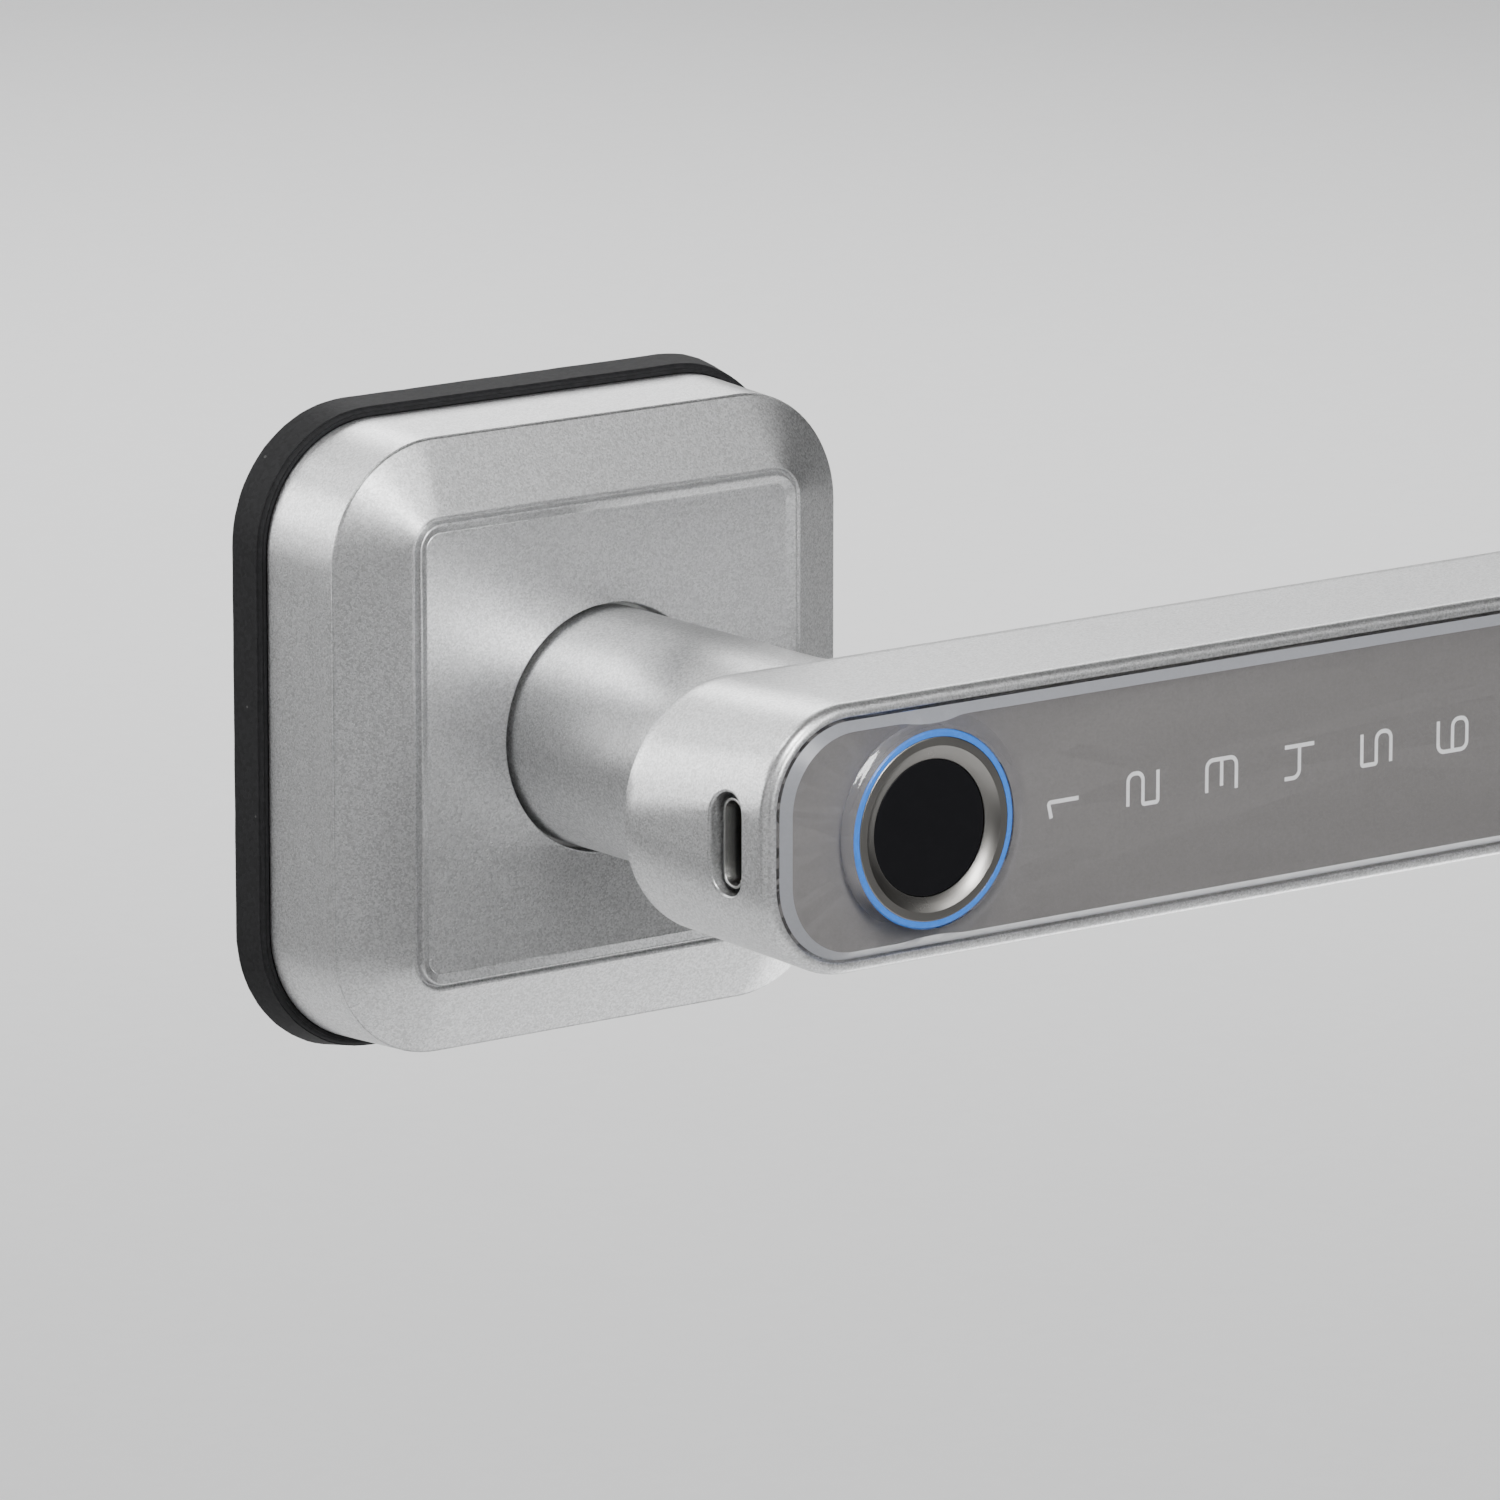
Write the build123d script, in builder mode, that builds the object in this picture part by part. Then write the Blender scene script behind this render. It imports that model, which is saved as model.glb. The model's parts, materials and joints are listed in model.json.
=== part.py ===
"""Keypad smart lock: the outside handle set, with its rose, lever, electronics and clutch.

The origin is the centre of the gasket's back face, on the door's surface. The door is the XZ plane.
-Y points out of the door, +X runs along the lever and +Z is up. All sizes are in millimetres, and
a "depth" is a distance out from the door's surface.
"""

import math
import os

from build123d import *

os.makedirs("parts", exist_ok=True)

# ---------------------------------------------------------------- clearances
running_fit = 0.05          # radial, between a shaft and its bearing
slip_fit = 0.1              # radial, between pieces that are pushed together
free_gap = 0.2              # axial, between faces that turn past each other
stop_gap = 0.3              # between a moving tab and its stop
past_face = 1.0             # how far a cutting shape runs past the face it cuts

# ---------------------------------------------------------------- rose: gasket, plate and cover
rose_half = 31.8            # half the cover's width at its back edge
rose_taper = 0.5            # how much nearer the middle each side is where the bevel starts
rose_corner = 12.6          # corner radius of the cover's back edge
rose_corner_taper = 0.3
rose_wall = 1.8
bevel_depth = 14.8          # where the bevel starts
bevel_edge_round = 1.0
panel_depth = 18.4          # the flat panel's front face
bead_margin = 7.8           # from the rose's side to the sunk band round the panel
bead_corner = 4.2
bead_width = 1.4            # the whole band, groove and ridge
bead_sink = 0.35            # how far the band lies under the panel
ridge_width = 0.75
ridge_height = 0.5
ridge_round = 0.26
neck_hole_radius = 12.85

gasket_thickness = 4.2
gasket_lip = 1.5            # how far the gasket stands out past the cover, at the door
gasket_taper = 0.6
gasket_corner = 13.6
gasket_seat = 0.3           # how deep the cover and plate sit in the gasket

plate_thickness = 4.0
post_centres = 38.0         # hole-to-hole distance of the two fixing posts
post_radius = 3.5
post_reach = 30.0           # how far a post stands out behind the door's surface
post_bore_radius = 2.1      # M5 tapping bore
post_bore_length = 25.0
post_shank_radius = 3.0
cover_screw_radius = 1.5
cover_screw_length = 6.5
hex_key_width = 1.5
hex_key_depth = 2.2

# ---------------------------------------------------------------- neck bearing, spring and stops
neck_radius = 12.25
journal_radius = 11.0       # the stretch of neck that turns in the bushing
bushing_wall = 1.95
bushing_flange = 0.5
collar_wall = 2.0
collar_depth = 14.0         # front end of the plate's collar
spigot_depth = 2.0          # back end of the collar
cam_thickness = 1.5
cam_radius = 21.5
cam_neck_step = 0.6         # how far the neck's stretch with two flats stands past the journal
cam_flat_cut = 0.3          # how far those flats, which drive the cam, lie under the journal
tab_inner_radius = 19.0     # the cam's tab and the plate's stops lie on one ring
tab_width = 2.0
tab_reach = 4.6             # how far the tab hangs from the cam towards the plate
tab_half_angle = 6.0        # degrees
tab_angle = 225.0           # where the tab rests, from +X towards +Z
lever_travel = 45.0         # degrees from rest to fully pressed
stop_half_angle = 5.0
stop_height = 4.2           # the stops' height above the plate
spring_wire = 0.8           # wire radius
spring_radius = 16.9        # the coil's mean radius
spring_pitch = 1.9
spring_turns = 2.0

# ---------------------------------------------------------------- lever casting
lever_back_depth = 52.7     # the face of the lever nearest the door
lever_front_depth = 72.7    # the rim round the lens
lever_left = 21.85          # from the neck's axis to the left end, at the rim
lever_past_last_key = 11.0  # from the last key's centre to the right end, at the rim
lever_half = 13.37          # half the lever's height at the rim
lever_corner = 10.0
lever_flare = 2.0           # how much longer each end is at the back
lever_back_half = 12.75     # half the lever's height at the back
lever_back_corner = 12.5
rim_round = 1.15
neck_flare = 0.4            # how much the neck widens where it meets the lever
neck_flare_length = 5.0
neck_shoulder_depth = 16.2
neck_end_depth = -1.0       # the neck's free end, just behind the door's surface

pocket_floor_depth = 55.2
pocket_half = 10.4
pocket_left = 19.2
pocket_end_wall = 3.0       # thickness of the casting at the pocket's right end
pocket_corner = 8.0
rim_width = 1.35            # rim of metal round the lens, a little more than its round edge
seat_depth = 70.8           # ledge that the lens pack stands on

journal_wall = 1.4          # between the journal and the neck's bore round the spindle hub
clutch_bore_radius = 8.4    # the neck's bore round the clutch and motor
bore_step_depth = 20.4

# ---------------------------------------------------------------- lens pack
lens_gap = 0.3              # the dark line between rim and lens
lens_front_depth = 73.6
lens_bevel = 0.9            # across and down, at 45 degrees
tape_thickness = 0.2
tape_width = 1.1
mask_thickness = 0.2
collar_foot = 2.2           # from the bezel's edge to the foot of the lens's raised collar
collar_crest = 1.0          # from the bezel's edge to the collar's highest line
collar_height = 0.4

key_count = 11
key_pitch = 10.0
first_key = 15.0            # from the neck's axis to the key "1"
digit_height = 3.78         # measured between stroke centres
digit_width = 3.2
digit_stroke = 0.42
digit_round = 0.8
digit_corner = 0.25

# ---------------------------------------------------------------- fingerprint sensor
sensor_x = -2.4
bezel_radius = 9.1
bezel_width = 2.35          # from the bezel's edge to the black disc
bezel_rim = 0.9             # the bezel's flat rim, outside its inner cone
bezel_rim_round = 0.12
bezel_front_depth = 74.0
bezel_length = 4.1
disc_depth = 73.2           # front face of the black disc
disc_thickness = 0.9
disc_edge = 0.15
light_ring_width = 0.7
light_ring_round = 0.3
sensor_board_margin = 0.9   # how far the sensor's board stands out past the bezel
sensor_board_thickness = 1.0
sensor_base_thickness = 0.6
sensor_holder_wall = 1.5
ring_led_count = 8
ring_led_size = 0.8
ring_led_height = 0.48

# ---------------------------------------------------------------- charging port
port_depth = 67.0           # centre of the port
port_cut_length = 10.2
port_cut_width = 4.3
shell_length = 8.94         # a USB-C receptacle's shell, across its long side
shell_width = 3.26
shell_wall = 0.3
shell_depth = 7.3
shell_setback = 1.0         # the shell's mouth, in from the lever's end
tongue_length = 6.7
tongue_width = 0.7
tongue_reach = 4.8
tongue_root_length = 1.0    # the moulded block the tongue grows from
port_board_thickness = 1.0
port_board_length = 4.4
port_board_width = 10.7
port_board_setback = 5.3    # from the shell's mouth to the middle of the port's board
contact_count = 12          # on each side of the tongue
contact_pitch = 0.5
contact_width = 0.25
contact_thickness = 0.05
contact_setback = 0.8       # from the tongue's tip to the contacts

# ---------------------------------------------------------------- boards, tray and battery
board_left = 11.5
board_gap = 1.5             # between the pocket's right end and the boards
board_half = 10.0
board_corner = 7.5
touch_board_thickness = 0.9
light_guide_thickness = 1.3
light_guide_half = 6.0
key_window = 5.6
led_size = 1.6
led_height = 0.6
led_space = 0.9             # between the main board and the light guide
main_board_thickness = 1.2
tray_wall = 1.0
tray_floor = 1.0
battery_left = 36.0
battery_end_gap = 15.5      # from the battery to the boards' right end
battery_width = 17.0
battery_thickness = 8.6
battery_round = 1.5
chip_height = 0.7
chip_layout = (             # distance from the neck's axis, offset across, length and width
    (46.0, 0.0, 7.0, 7.0),
    (62.0, 2.0, 5.0, 6.0),
    (75.0, -3.0, 3.0, 1.6),
    (75.0, 3.0, 3.0, 1.6),
    (88.0, 0.0, 6.0, 4.0),
)
buzzer_x = 23.0
buzzer_radius = 4.0
buzzer_height = 3.5
buzzer_port_radius = 0.6
small_screw_radius = 1.0
small_head_radius = 1.8
small_head_height = 0.7
cross_slot_width = 0.3
cross_slot_length = 2.88
cross_slot_depth = 0.35
chassis_screw_left = 16.0
chassis_screw_end_gap = 7.5 # from the last chassis screws to the boards' right end
chassis_screw_row = 4.5
chassis_screw_grip = 1.6    # length in the casting
board_screw_left = 31.0
board_screw_end_gap = 12.0  # from the last board screws to the boards' right end
board_screw_row = 7.0
board_screw_grip = 4.0
boss_radius = 2.2

# ---------------------------------------------------------------- clutch and spindle
spindle_side = 8.0
spindle_reach = 36.0        # how far the spindle stands out behind the door's surface
spindle_in_hub = 9.5
spindle_chamfer = 0.8
hub_front_depth = 20.0
hub_back_depth = 6.0
hub_ring_width = 1.0
ring_groove = 0.5           # how deep a circlip sits in its groove
circlip_thickness = 1.0
circlip_proud = 1.6
circlip_gap_angle = 12.0    # half the angle of the neck circlip's opening, in degrees
hub_ring_gap_angle = 15.0
washer_thickness = 0.6
pin_radius = 1.0            # cross pin through hub and spindle
pin_depth = 11.0
pin_sunk = 0.5              # how far each end of the pin lies under the hub's surface
nose_radius = 2.2
nose_inset = 4.0            # from the hub's side to the nose's centre
nose_depth = 18.2           # the nose's tip when it engages the hub
nose_gap = 0.5              # between the nose's tip and the floor of its hole in the hub
clutch_travel = 2.5
clutch_depth = 24.0         # the slider's face nearest the hub
clutch_thickness = 6.0
key_rib_width = 2.0
key_rib_height = 1.2
key_rib_root = 0.2          # how far the rib runs into the neck's wall
screw_radius = 1.5
screw_tip_depth = 22.0
coupler_radius = 2.6
coupler_depth = 33.6
coupler_length = 3.4
motor_radius = 4.0
motor_length = 12.0
motor_shaft_radius = 0.5
motor_shaft_grip = 1.5      # how far the shaft reaches into the coupler
coupler_bore_length = 2.0
motor_cap_length = 1.2
motor_cap_step = 0.8
bracket_floor = 1.0
bracket_depth = 37.6
bracket_end_depth = 55.0


def out(depth):
    """The plane at a distance out from the door, seen from outside."""
    return Plane.XZ.offset(depth)


def save(piece, name):
    piece.part.label = name
    export_step(piece.part, f"parts/{name}.step")


def edges_at(piece, depth):
    """The edges that lie wholly at one depth."""
    return piece.edges().filter_by(lambda edge: edge.bounding_box().size.Y < running_fit).filter_by(
        lambda edge: abs(edge.center().Y + depth) < running_fit)


def disc(low, high, radius, x=0.0, z=0.0, mode=Mode.ADD):
    """A round boss, or with Mode.SUBTRACT a bore, between two depths."""
    with BuildSketch(out(low)) as face:
        with Locations((x, z)):
            Circle(radius)
    extrude(face.sketch, amount=high - low, mode=mode)


def lever_loop(left, right, half, corner):
    """The lever's outline, measured from the neck's axis."""
    with Locations(((right - left) / 2, 0)):
        RectangleRounded(left + right, 2 * half, corner)


def lever_layer(low, high, left, right, half, corner, mode=Mode.ADD):
    with BuildSketch(out(low)) as face:
        lever_loop(left, right, half, corner)
    extrude(face.sketch, amount=high - low, mode=mode)


def ring_sector(inner, outer, centre, half_angle):
    """A piece of a flat ring, in the sketch's own plane."""
    with BuildLine() as edge:
        start, sweep = centre - half_angle, 2 * half_angle
        far = CenterArc((0, 0), outer, start, sweep)
        near = CenterArc((0, 0), inner, start, sweep)
        Line(far @ 0, near @ 0)
        Line(far @ 1, near @ 1)
    make_face(edge.edges())


# Sizes that follow from those above.
rose_half_front = rose_half - rose_taper
rose_corner_front = rose_corner - rose_corner_taper
bead_half = rose_half - bead_margin
gasket_half = rose_half + gasket_lip
gasket_half_front = gasket_half - gasket_taper
rose_back_depth = gasket_thickness - gasket_seat
plate_front_depth = rose_back_depth + plate_thickness
inner_front_depth = bevel_depth - rose_wall / 2
inner_taper = (rose_half - rose_half_front) / (inner_front_depth - rose_back_depth)
plate_half = rose_half - rose_wall - inner_taper * plate_thickness - slip_fit
panel_back_depth = panel_depth - rose_wall
bushing_radius = journal_radius + running_fit
cam_neck_radius = journal_radius + cam_neck_step
cam_flat = journal_radius - cam_flat_cut
hub_bore_radius = journal_radius - journal_wall
nose_offset = hub_bore_radius - nose_inset
collar_bore = bushing_radius + bushing_wall
collar_outer = collar_bore + collar_wall
flange_depth = collar_depth + bushing_flange
cam_back_depth = flange_depth + free_gap
lens_back_depth = seat_depth + tape_thickness + mask_thickness
lever_right = first_key + key_pitch * (key_count - 1) + lever_past_last_key
pocket_right = lever_right - pocket_end_wall
lens_left = lever_left - rim_width - lens_gap
lens_right = lever_right - rim_width - lens_gap
lens_half = lever_half - rim_width - lens_gap
lens_corner = lever_corner - rim_width - lens_gap
ring_radius = bezel_radius + light_ring_width
lens_hole = ring_radius + running_fit
collar_radius = bezel_radius + collar_foot
collar_top_radius = bezel_radius + collar_crest
disc_radius = bezel_radius - bezel_width
bezel_cone_radius = bezel_radius - bezel_rim
bezel_back_depth = bezel_front_depth - bezel_length
sensor_board_radius = bezel_radius + sensor_board_margin
board_right = pocket_right - board_gap
battery_length = board_right - battery_end_gap - battery_left
chassis_screw_columns = (chassis_screw_left, board_right - chassis_screw_end_gap)
board_screw_columns = (board_screw_left, board_right - board_screw_end_gap)
cover_screw_depth = rose_back_depth + plate_thickness / 2
board_top_depth = seat_depth
main_board_front = board_top_depth - touch_board_thickness - light_guide_thickness - led_space
main_board_back = main_board_front - main_board_thickness
tray_floor_depth = pocket_floor_depth + tray_floor
key_columns = [first_key + key_pitch * i for i in range(key_count)]
post_spots = [(0, post_centres / 2), (0, -post_centres / 2)]

# ================================================================ rose
with BuildPart() as door_gasket:
    with BuildSketch(out(0)):
        RectangleRounded(2 * gasket_half, 2 * gasket_half, gasket_corner)
    with BuildSketch(out(gasket_thickness)):
        RectangleRounded(2 * gasket_half_front, 2 * gasket_half_front, gasket_corner)
    loft(ruled=True)
    with BuildSketch(out(rose_back_depth)):
        RectangleRounded(2 * rose_half, 2 * rose_half, rose_corner)
    extrude(amount=gasket_seat, mode=Mode.SUBTRACT)
    disc(0, gasket_thickness, collar_outer, mode=Mode.SUBTRACT)
    with BuildSketch(out(0)):
        with Locations(*post_spots):
            Circle(post_radius + slip_fit)
    extrude(amount=gasket_thickness, mode=Mode.SUBTRACT)
save(door_gasket, "door_gasket")

with BuildPart() as mounting_plate:
    with BuildSketch(out(rose_back_depth)):
        RectangleRounded(2 * plate_half, 2 * plate_half, rose_corner - rose_wall)
    extrude(amount=plate_thickness)
    disc(spigot_depth, collar_depth, collar_outer)
    with BuildSketch(out(plate_front_depth)):
        for side in (1, -1):
            turn = stop_half_angle + tab_half_angle
            rest = tab_angle + turn if side > 0 else tab_angle - lever_travel - turn
            slack = math.degrees(stop_gap / tab_inner_radius)
            ring_sector(tab_inner_radius, tab_inner_radius + tab_width, rest + side * slack,
                        stop_half_angle)
    extrude(amount=stop_height)
    disc(spigot_depth, collar_depth, collar_bore, mode=Mode.SUBTRACT)
    with BuildSketch(out(rose_back_depth)):
        with Locations(*post_spots):
            Circle(post_shank_radius)
    extrude(amount=plate_thickness, mode=Mode.SUBTRACT)
    with BuildSketch(Plane.XY.offset(-plate_half)):
        with Locations((0, -cover_screw_depth)):
            Circle(cover_screw_radius)
    extrude(amount=cover_screw_length, mode=Mode.SUBTRACT)
save(mounting_plate, "mounting_plate")

with BuildPart() as fixing_posts:
    with BuildSketch(out(rose_back_depth)):
        with Locations(*post_spots):
            Circle(post_radius)
    extrude(amount=-(rose_back_depth + post_reach))
    with BuildSketch(out(rose_back_depth)):
        with Locations(*post_spots):
            Circle(post_shank_radius)
    extrude(amount=plate_thickness)
    with BuildSketch(out(-post_reach)):
        with Locations(*post_spots):
            Circle(post_bore_radius)
    extrude(amount=post_bore_length, mode=Mode.SUBTRACT)
save(fixing_posts, "fixing_posts")

with BuildPart() as rosette_cover:
    with BuildSketch(out(rose_back_depth)):
        RectangleRounded(2 * rose_half, 2 * rose_half, rose_corner)
    with BuildSketch(out(bevel_depth)):
        RectangleRounded(2 * rose_half_front, 2 * rose_half_front, rose_corner_front)
    loft(ruled=True)
    with BuildSketch(out(bevel_depth)):
        RectangleRounded(2 * rose_half_front, 2 * rose_half_front, rose_corner_front)
    with BuildSketch(out(panel_depth)):
        RectangleRounded(2 * bead_half, 2 * bead_half, bead_corner)
    loft(ruled=True)
    fillet(edges_at(rosette_cover, bevel_depth), bevel_edge_round)
    # The hollow inside, one wall smaller.
    with BuildSketch(out(rose_back_depth)):
        RectangleRounded(2 * (rose_half - rose_wall), 2 * (rose_half - rose_wall), rose_corner - rose_wall)
    with BuildSketch(out(inner_front_depth)):
        RectangleRounded(2 * (rose_half_front - rose_wall), 2 * (rose_half_front - rose_wall),
                         rose_corner_front - rose_wall)
    loft(ruled=True, mode=Mode.SUBTRACT)
    with BuildSketch(out(inner_front_depth)):
        RectangleRounded(2 * (rose_half_front - rose_wall), 2 * (rose_half_front - rose_wall),
                         rose_corner_front - rose_wall)
    with BuildSketch(out(panel_back_depth)):
        RectangleRounded(2 * bead_half, 2 * bead_half, bead_corner)
    loft(ruled=True, mode=Mode.SUBTRACT)
    # The sunk band and its rounded ridge.
    with BuildSketch(out(panel_depth)):
        RectangleRounded(2 * bead_half, 2 * bead_half, bead_corner)
        RectangleRounded(2 * (bead_half - bead_width), 2 * (bead_half - bead_width),
                         bead_corner - bead_width, mode=Mode.SUBTRACT)
    extrude(amount=-bead_sink, mode=Mode.SUBTRACT)
    ridge_half = bead_half - (bead_width - ridge_width) / 2
    ridge_corner = bead_corner - (bead_width - ridge_width) / 2
    with BuildSketch(out(panel_depth - bead_sink)):
        RectangleRounded(2 * ridge_half, 2 * ridge_half, ridge_corner)
        RectangleRounded(2 * (ridge_half - ridge_width), 2 * (ridge_half - ridge_width),
                         ridge_corner - ridge_width, mode=Mode.SUBTRACT)
    extrude(amount=ridge_height)
    ridge_top = panel_depth - bead_sink + ridge_height
    fillet(edges_at(rosette_cover, ridge_top), ridge_round)
    disc(panel_back_depth - past_face, panel_depth + past_face, neck_hole_radius, mode=Mode.SUBTRACT)
    with BuildSketch(Plane.XY.offset(-rose_half - past_face)):
        with Locations((0, -cover_screw_depth)):
            Circle(cover_screw_radius + slip_fit)
    extrude(amount=rose_wall + 2 * past_face, mode=Mode.SUBTRACT)
save(rosette_cover, "rosette_cover")

with BuildPart() as cover_screw:
    with BuildSketch(Plane.XY.offset(-rose_half + rose_wall / 2)):
        with Locations((0, -cover_screw_depth)):
            Circle(cover_screw_radius)
    extrude(amount=cover_screw_length)
    with BuildSketch(Plane.XY.offset(-rose_half + rose_wall / 2)):
        with Locations((0, -cover_screw_depth)):
            RegularPolygon(hex_key_width / 2, 6, major_radius=False)
    extrude(amount=hex_key_depth, mode=Mode.SUBTRACT)
save(cover_screw, "cover_screw")

with BuildPart() as neck_bushing:
    disc(spigot_depth, collar_depth, collar_bore)
    disc(collar_depth, flange_depth, collar_outer)
    disc(spigot_depth, flange_depth, bushing_radius, mode=Mode.SUBTRACT)
save(neck_bushing, "neck_bushing")

spring_start = plate_front_depth + spring_wire + free_gap
spring_length = spring_pitch * spring_turns
with BuildPart() as return_spring:
    with BuildLine():
        coil = Helix(spring_pitch, spring_length, spring_radius, center=(0, -spring_start, 0),
                     direction=(0, -1, 0))
    with BuildSketch(Plane(origin=coil @ 0, z_dir=coil % 0)):
        Circle(spring_wire)
    sweep()
save(return_spring, "return_spring")

# ================================================================ lever casting
with BuildPart() as lever_body:
    with BuildSketch(out(lever_back_depth)):
        lever_loop(lever_left + lever_flare, lever_right + lever_flare, lever_back_half,
                   lever_back_corner)
    with BuildSketch(out(lever_front_depth)):
        lever_loop(lever_left, lever_right, lever_half, lever_corner)
    loft(ruled=True)
    fillet(lever_body.faces().sort_by(Axis.Y)[0].edges(), rim_round)
    # The neck: a flare at the lever, a plain cylinder, the cam seat and the journal.
    with BuildSketch(Plane.XY):
        with BuildLine():
            flare_start = (neck_radius, -(lever_back_depth - neck_flare_length))
            flare_end = (neck_radius + neck_flare, -lever_back_depth)
            Line((0, -neck_end_depth), (journal_radius, -neck_end_depth))
            Line((journal_radius, -neck_end_depth), (journal_radius, -cam_back_depth))
            Line((journal_radius, -cam_back_depth), (cam_neck_radius, -cam_back_depth))
            Line((cam_neck_radius, -cam_back_depth), (cam_neck_radius, -neck_shoulder_depth))
            Line((cam_neck_radius, -neck_shoulder_depth), (neck_radius, -neck_shoulder_depth))
            Line((neck_radius, -neck_shoulder_depth), flare_start)
            TangentArc(flare_start, flare_end, tangent=(0, -1))
            Line(flare_end, (flare_end[0], -pocket_floor_depth))
            Line((flare_end[0], -pocket_floor_depth), (0, -pocket_floor_depth))
            Line((0, -pocket_floor_depth), (0, -neck_end_depth))
        make_face()
    revolve(axis=Axis.Y)
    # The two flats that drive the cam.
    with BuildSketch(out(cam_back_depth)):
        Circle(neck_radius + past_face)
        Rectangle(2 * (neck_radius + past_face), 2 * cam_flat, mode=Mode.SUBTRACT)
    extrude(amount=neck_shoulder_depth - cam_back_depth, mode=Mode.SUBTRACT)
    # Pocket for the electronics and seat for the lens.
    lever_layer(pocket_floor_depth, lever_front_depth, pocket_left, pocket_right, pocket_half,
                pocket_corner, mode=Mode.SUBTRACT)
    lever_layer(seat_depth, lever_front_depth, lever_left - rim_width, lever_right - rim_width,
                lever_half - rim_width, lever_corner - rim_width, mode=Mode.SUBTRACT)
    # The neck's bore, its key rib and the two circlip grooves.
    disc(neck_end_depth, bore_step_depth, hub_bore_radius, mode=Mode.SUBTRACT)
    disc(bore_step_depth, pocket_floor_depth, clutch_bore_radius, mode=Mode.SUBTRACT)
    with BuildSketch(out(bore_step_depth)):
        with Locations((0, -clutch_bore_radius + (key_rib_height - key_rib_root) / 2)):
            Rectangle(key_rib_width, key_rib_height + key_rib_root)
    extrude(amount=coupler_depth - bore_step_depth)
    disc(hub_back_depth - free_gap - hub_ring_width, hub_back_depth - free_gap,
         hub_bore_radius + ring_groove, mode=Mode.SUBTRACT)
    washer_front = spigot_depth - free_gap
    clip_front = washer_front - washer_thickness
    with BuildSketch(out(clip_front - circlip_thickness)):
        Circle(journal_radius + past_face)
        Circle(journal_radius - ring_groove, mode=Mode.SUBTRACT)
    extrude(amount=circlip_thickness, mode=Mode.SUBTRACT)
    # Charging port in the left end.
    with BuildSketch(Plane.YZ.offset(-lever_left - lever_flare - past_face)):
        with Locations((-port_depth, 0)):
            SlotOverall(port_cut_length, port_cut_width, rotation=90)
    extrude(amount=lever_flare + lever_left - pocket_left + 3 * past_face, mode=Mode.SUBTRACT)
    # Blind holes for the tray's screws.
    with BuildSketch(out(pocket_floor_depth)):
        for column in chassis_screw_columns:
            with Locations((column, chassis_screw_row), (column, -chassis_screw_row)):
                Circle(small_screw_radius)
    extrude(amount=-chassis_screw_grip, mode=Mode.SUBTRACT)
save(lever_body, "lever_body")

with BuildPart() as spring_cam:
    disc(cam_back_depth, neck_shoulder_depth, cam_radius)
    with BuildSketch(out(cam_back_depth)):
        ring_sector(tab_inner_radius, tab_inner_radius + tab_width, tab_angle, tab_half_angle)
    extrude(amount=-tab_reach)
    with BuildSketch(out(cam_back_depth)):
        Circle(cam_neck_radius + running_fit)
        with Locations((0, cam_flat + running_fit + cam_neck_radius),
                       (0, -cam_flat - running_fit - cam_neck_radius)):
            Rectangle(3 * cam_neck_radius, 2 * cam_neck_radius, mode=Mode.SUBTRACT)
    extrude(amount=neck_shoulder_depth - cam_back_depth, mode=Mode.SUBTRACT)
save(spring_cam, "spring_cam")

with BuildPart() as thrust_washer:
    disc(clip_front, washer_front, collar_bore)
    disc(clip_front, washer_front, journal_radius + running_fit, mode=Mode.SUBTRACT)
save(thrust_washer, "thrust_washer")

with BuildPart() as neck_circlip:
    disc(clip_front - circlip_thickness, clip_front, journal_radius + circlip_proud)
    disc(clip_front - circlip_thickness, clip_front, journal_radius - ring_groove, mode=Mode.SUBTRACT)
    with BuildSketch(out(clip_front - circlip_thickness)):
        ring_sector(journal_radius / 2, journal_radius * 2, -90, circlip_gap_angle)
    extrude(amount=circlip_thickness, mode=Mode.SUBTRACT)
save(neck_circlip, "neck_circlip")

# ================================================================ lens pack
with BuildPart() as collar_limit:
    lever_layer(lens_back_depth, lens_front_depth + collar_height, lens_left, lens_right,
                lens_half, lens_corner)
    chamfer(collar_limit.faces().sort_by(Axis.Y)[0].edges(), lens_bevel + collar_height)

with BuildPart() as collar_blank:
    with BuildSketch(Plane.XY):
        with BuildLine():
            foot = (sensor_x + collar_radius, -lens_front_depth)
            crest = (sensor_x + collar_top_radius, -(lens_front_depth + collar_height))
            inner_x = sensor_x + lens_hole
            Spline(foot, crest, tangents=((-1, 0), (-1, 0)))
            Line(crest, (inner_x, crest[1]))
            Line((inner_x, crest[1]), (inner_x, -lens_front_depth + lens_bevel))
            Line((inner_x, -lens_front_depth + lens_bevel), (foot[0], -lens_front_depth + lens_bevel))
            Line((foot[0], -lens_front_depth + lens_bevel), foot)
        make_face()
    revolve(axis=Axis((sensor_x, 0, 0), (0, 1, 0)))

# The collar stops where the lens's bevel, carried on forward, meets it.
sensor_collar = collar_blank.part & collar_limit.part

with BuildPart() as lens:
    lever_layer(lens_back_depth, lens_front_depth, lens_left, lens_right, lens_half, lens_corner)
    chamfer(lens.faces().sort_by(Axis.Y)[0].edges(), lens_bevel)
    add(sensor_collar)
    disc(lens_back_depth, bezel_front_depth, lens_hole, x=sensor_x, mode=Mode.SUBTRACT)
save(lens, "lens")

with BuildPart() as lens_tape:
    lever_layer(seat_depth, seat_depth + tape_thickness, lens_left, lens_right, lens_half, lens_corner)
    lever_layer(seat_depth, seat_depth + tape_thickness, lens_left - tape_width,
                lens_right - tape_width, lens_half - tape_width, lens_corner - tape_width,
                mode=Mode.SUBTRACT)
save(lens_tape, "lens_tape")


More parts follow.
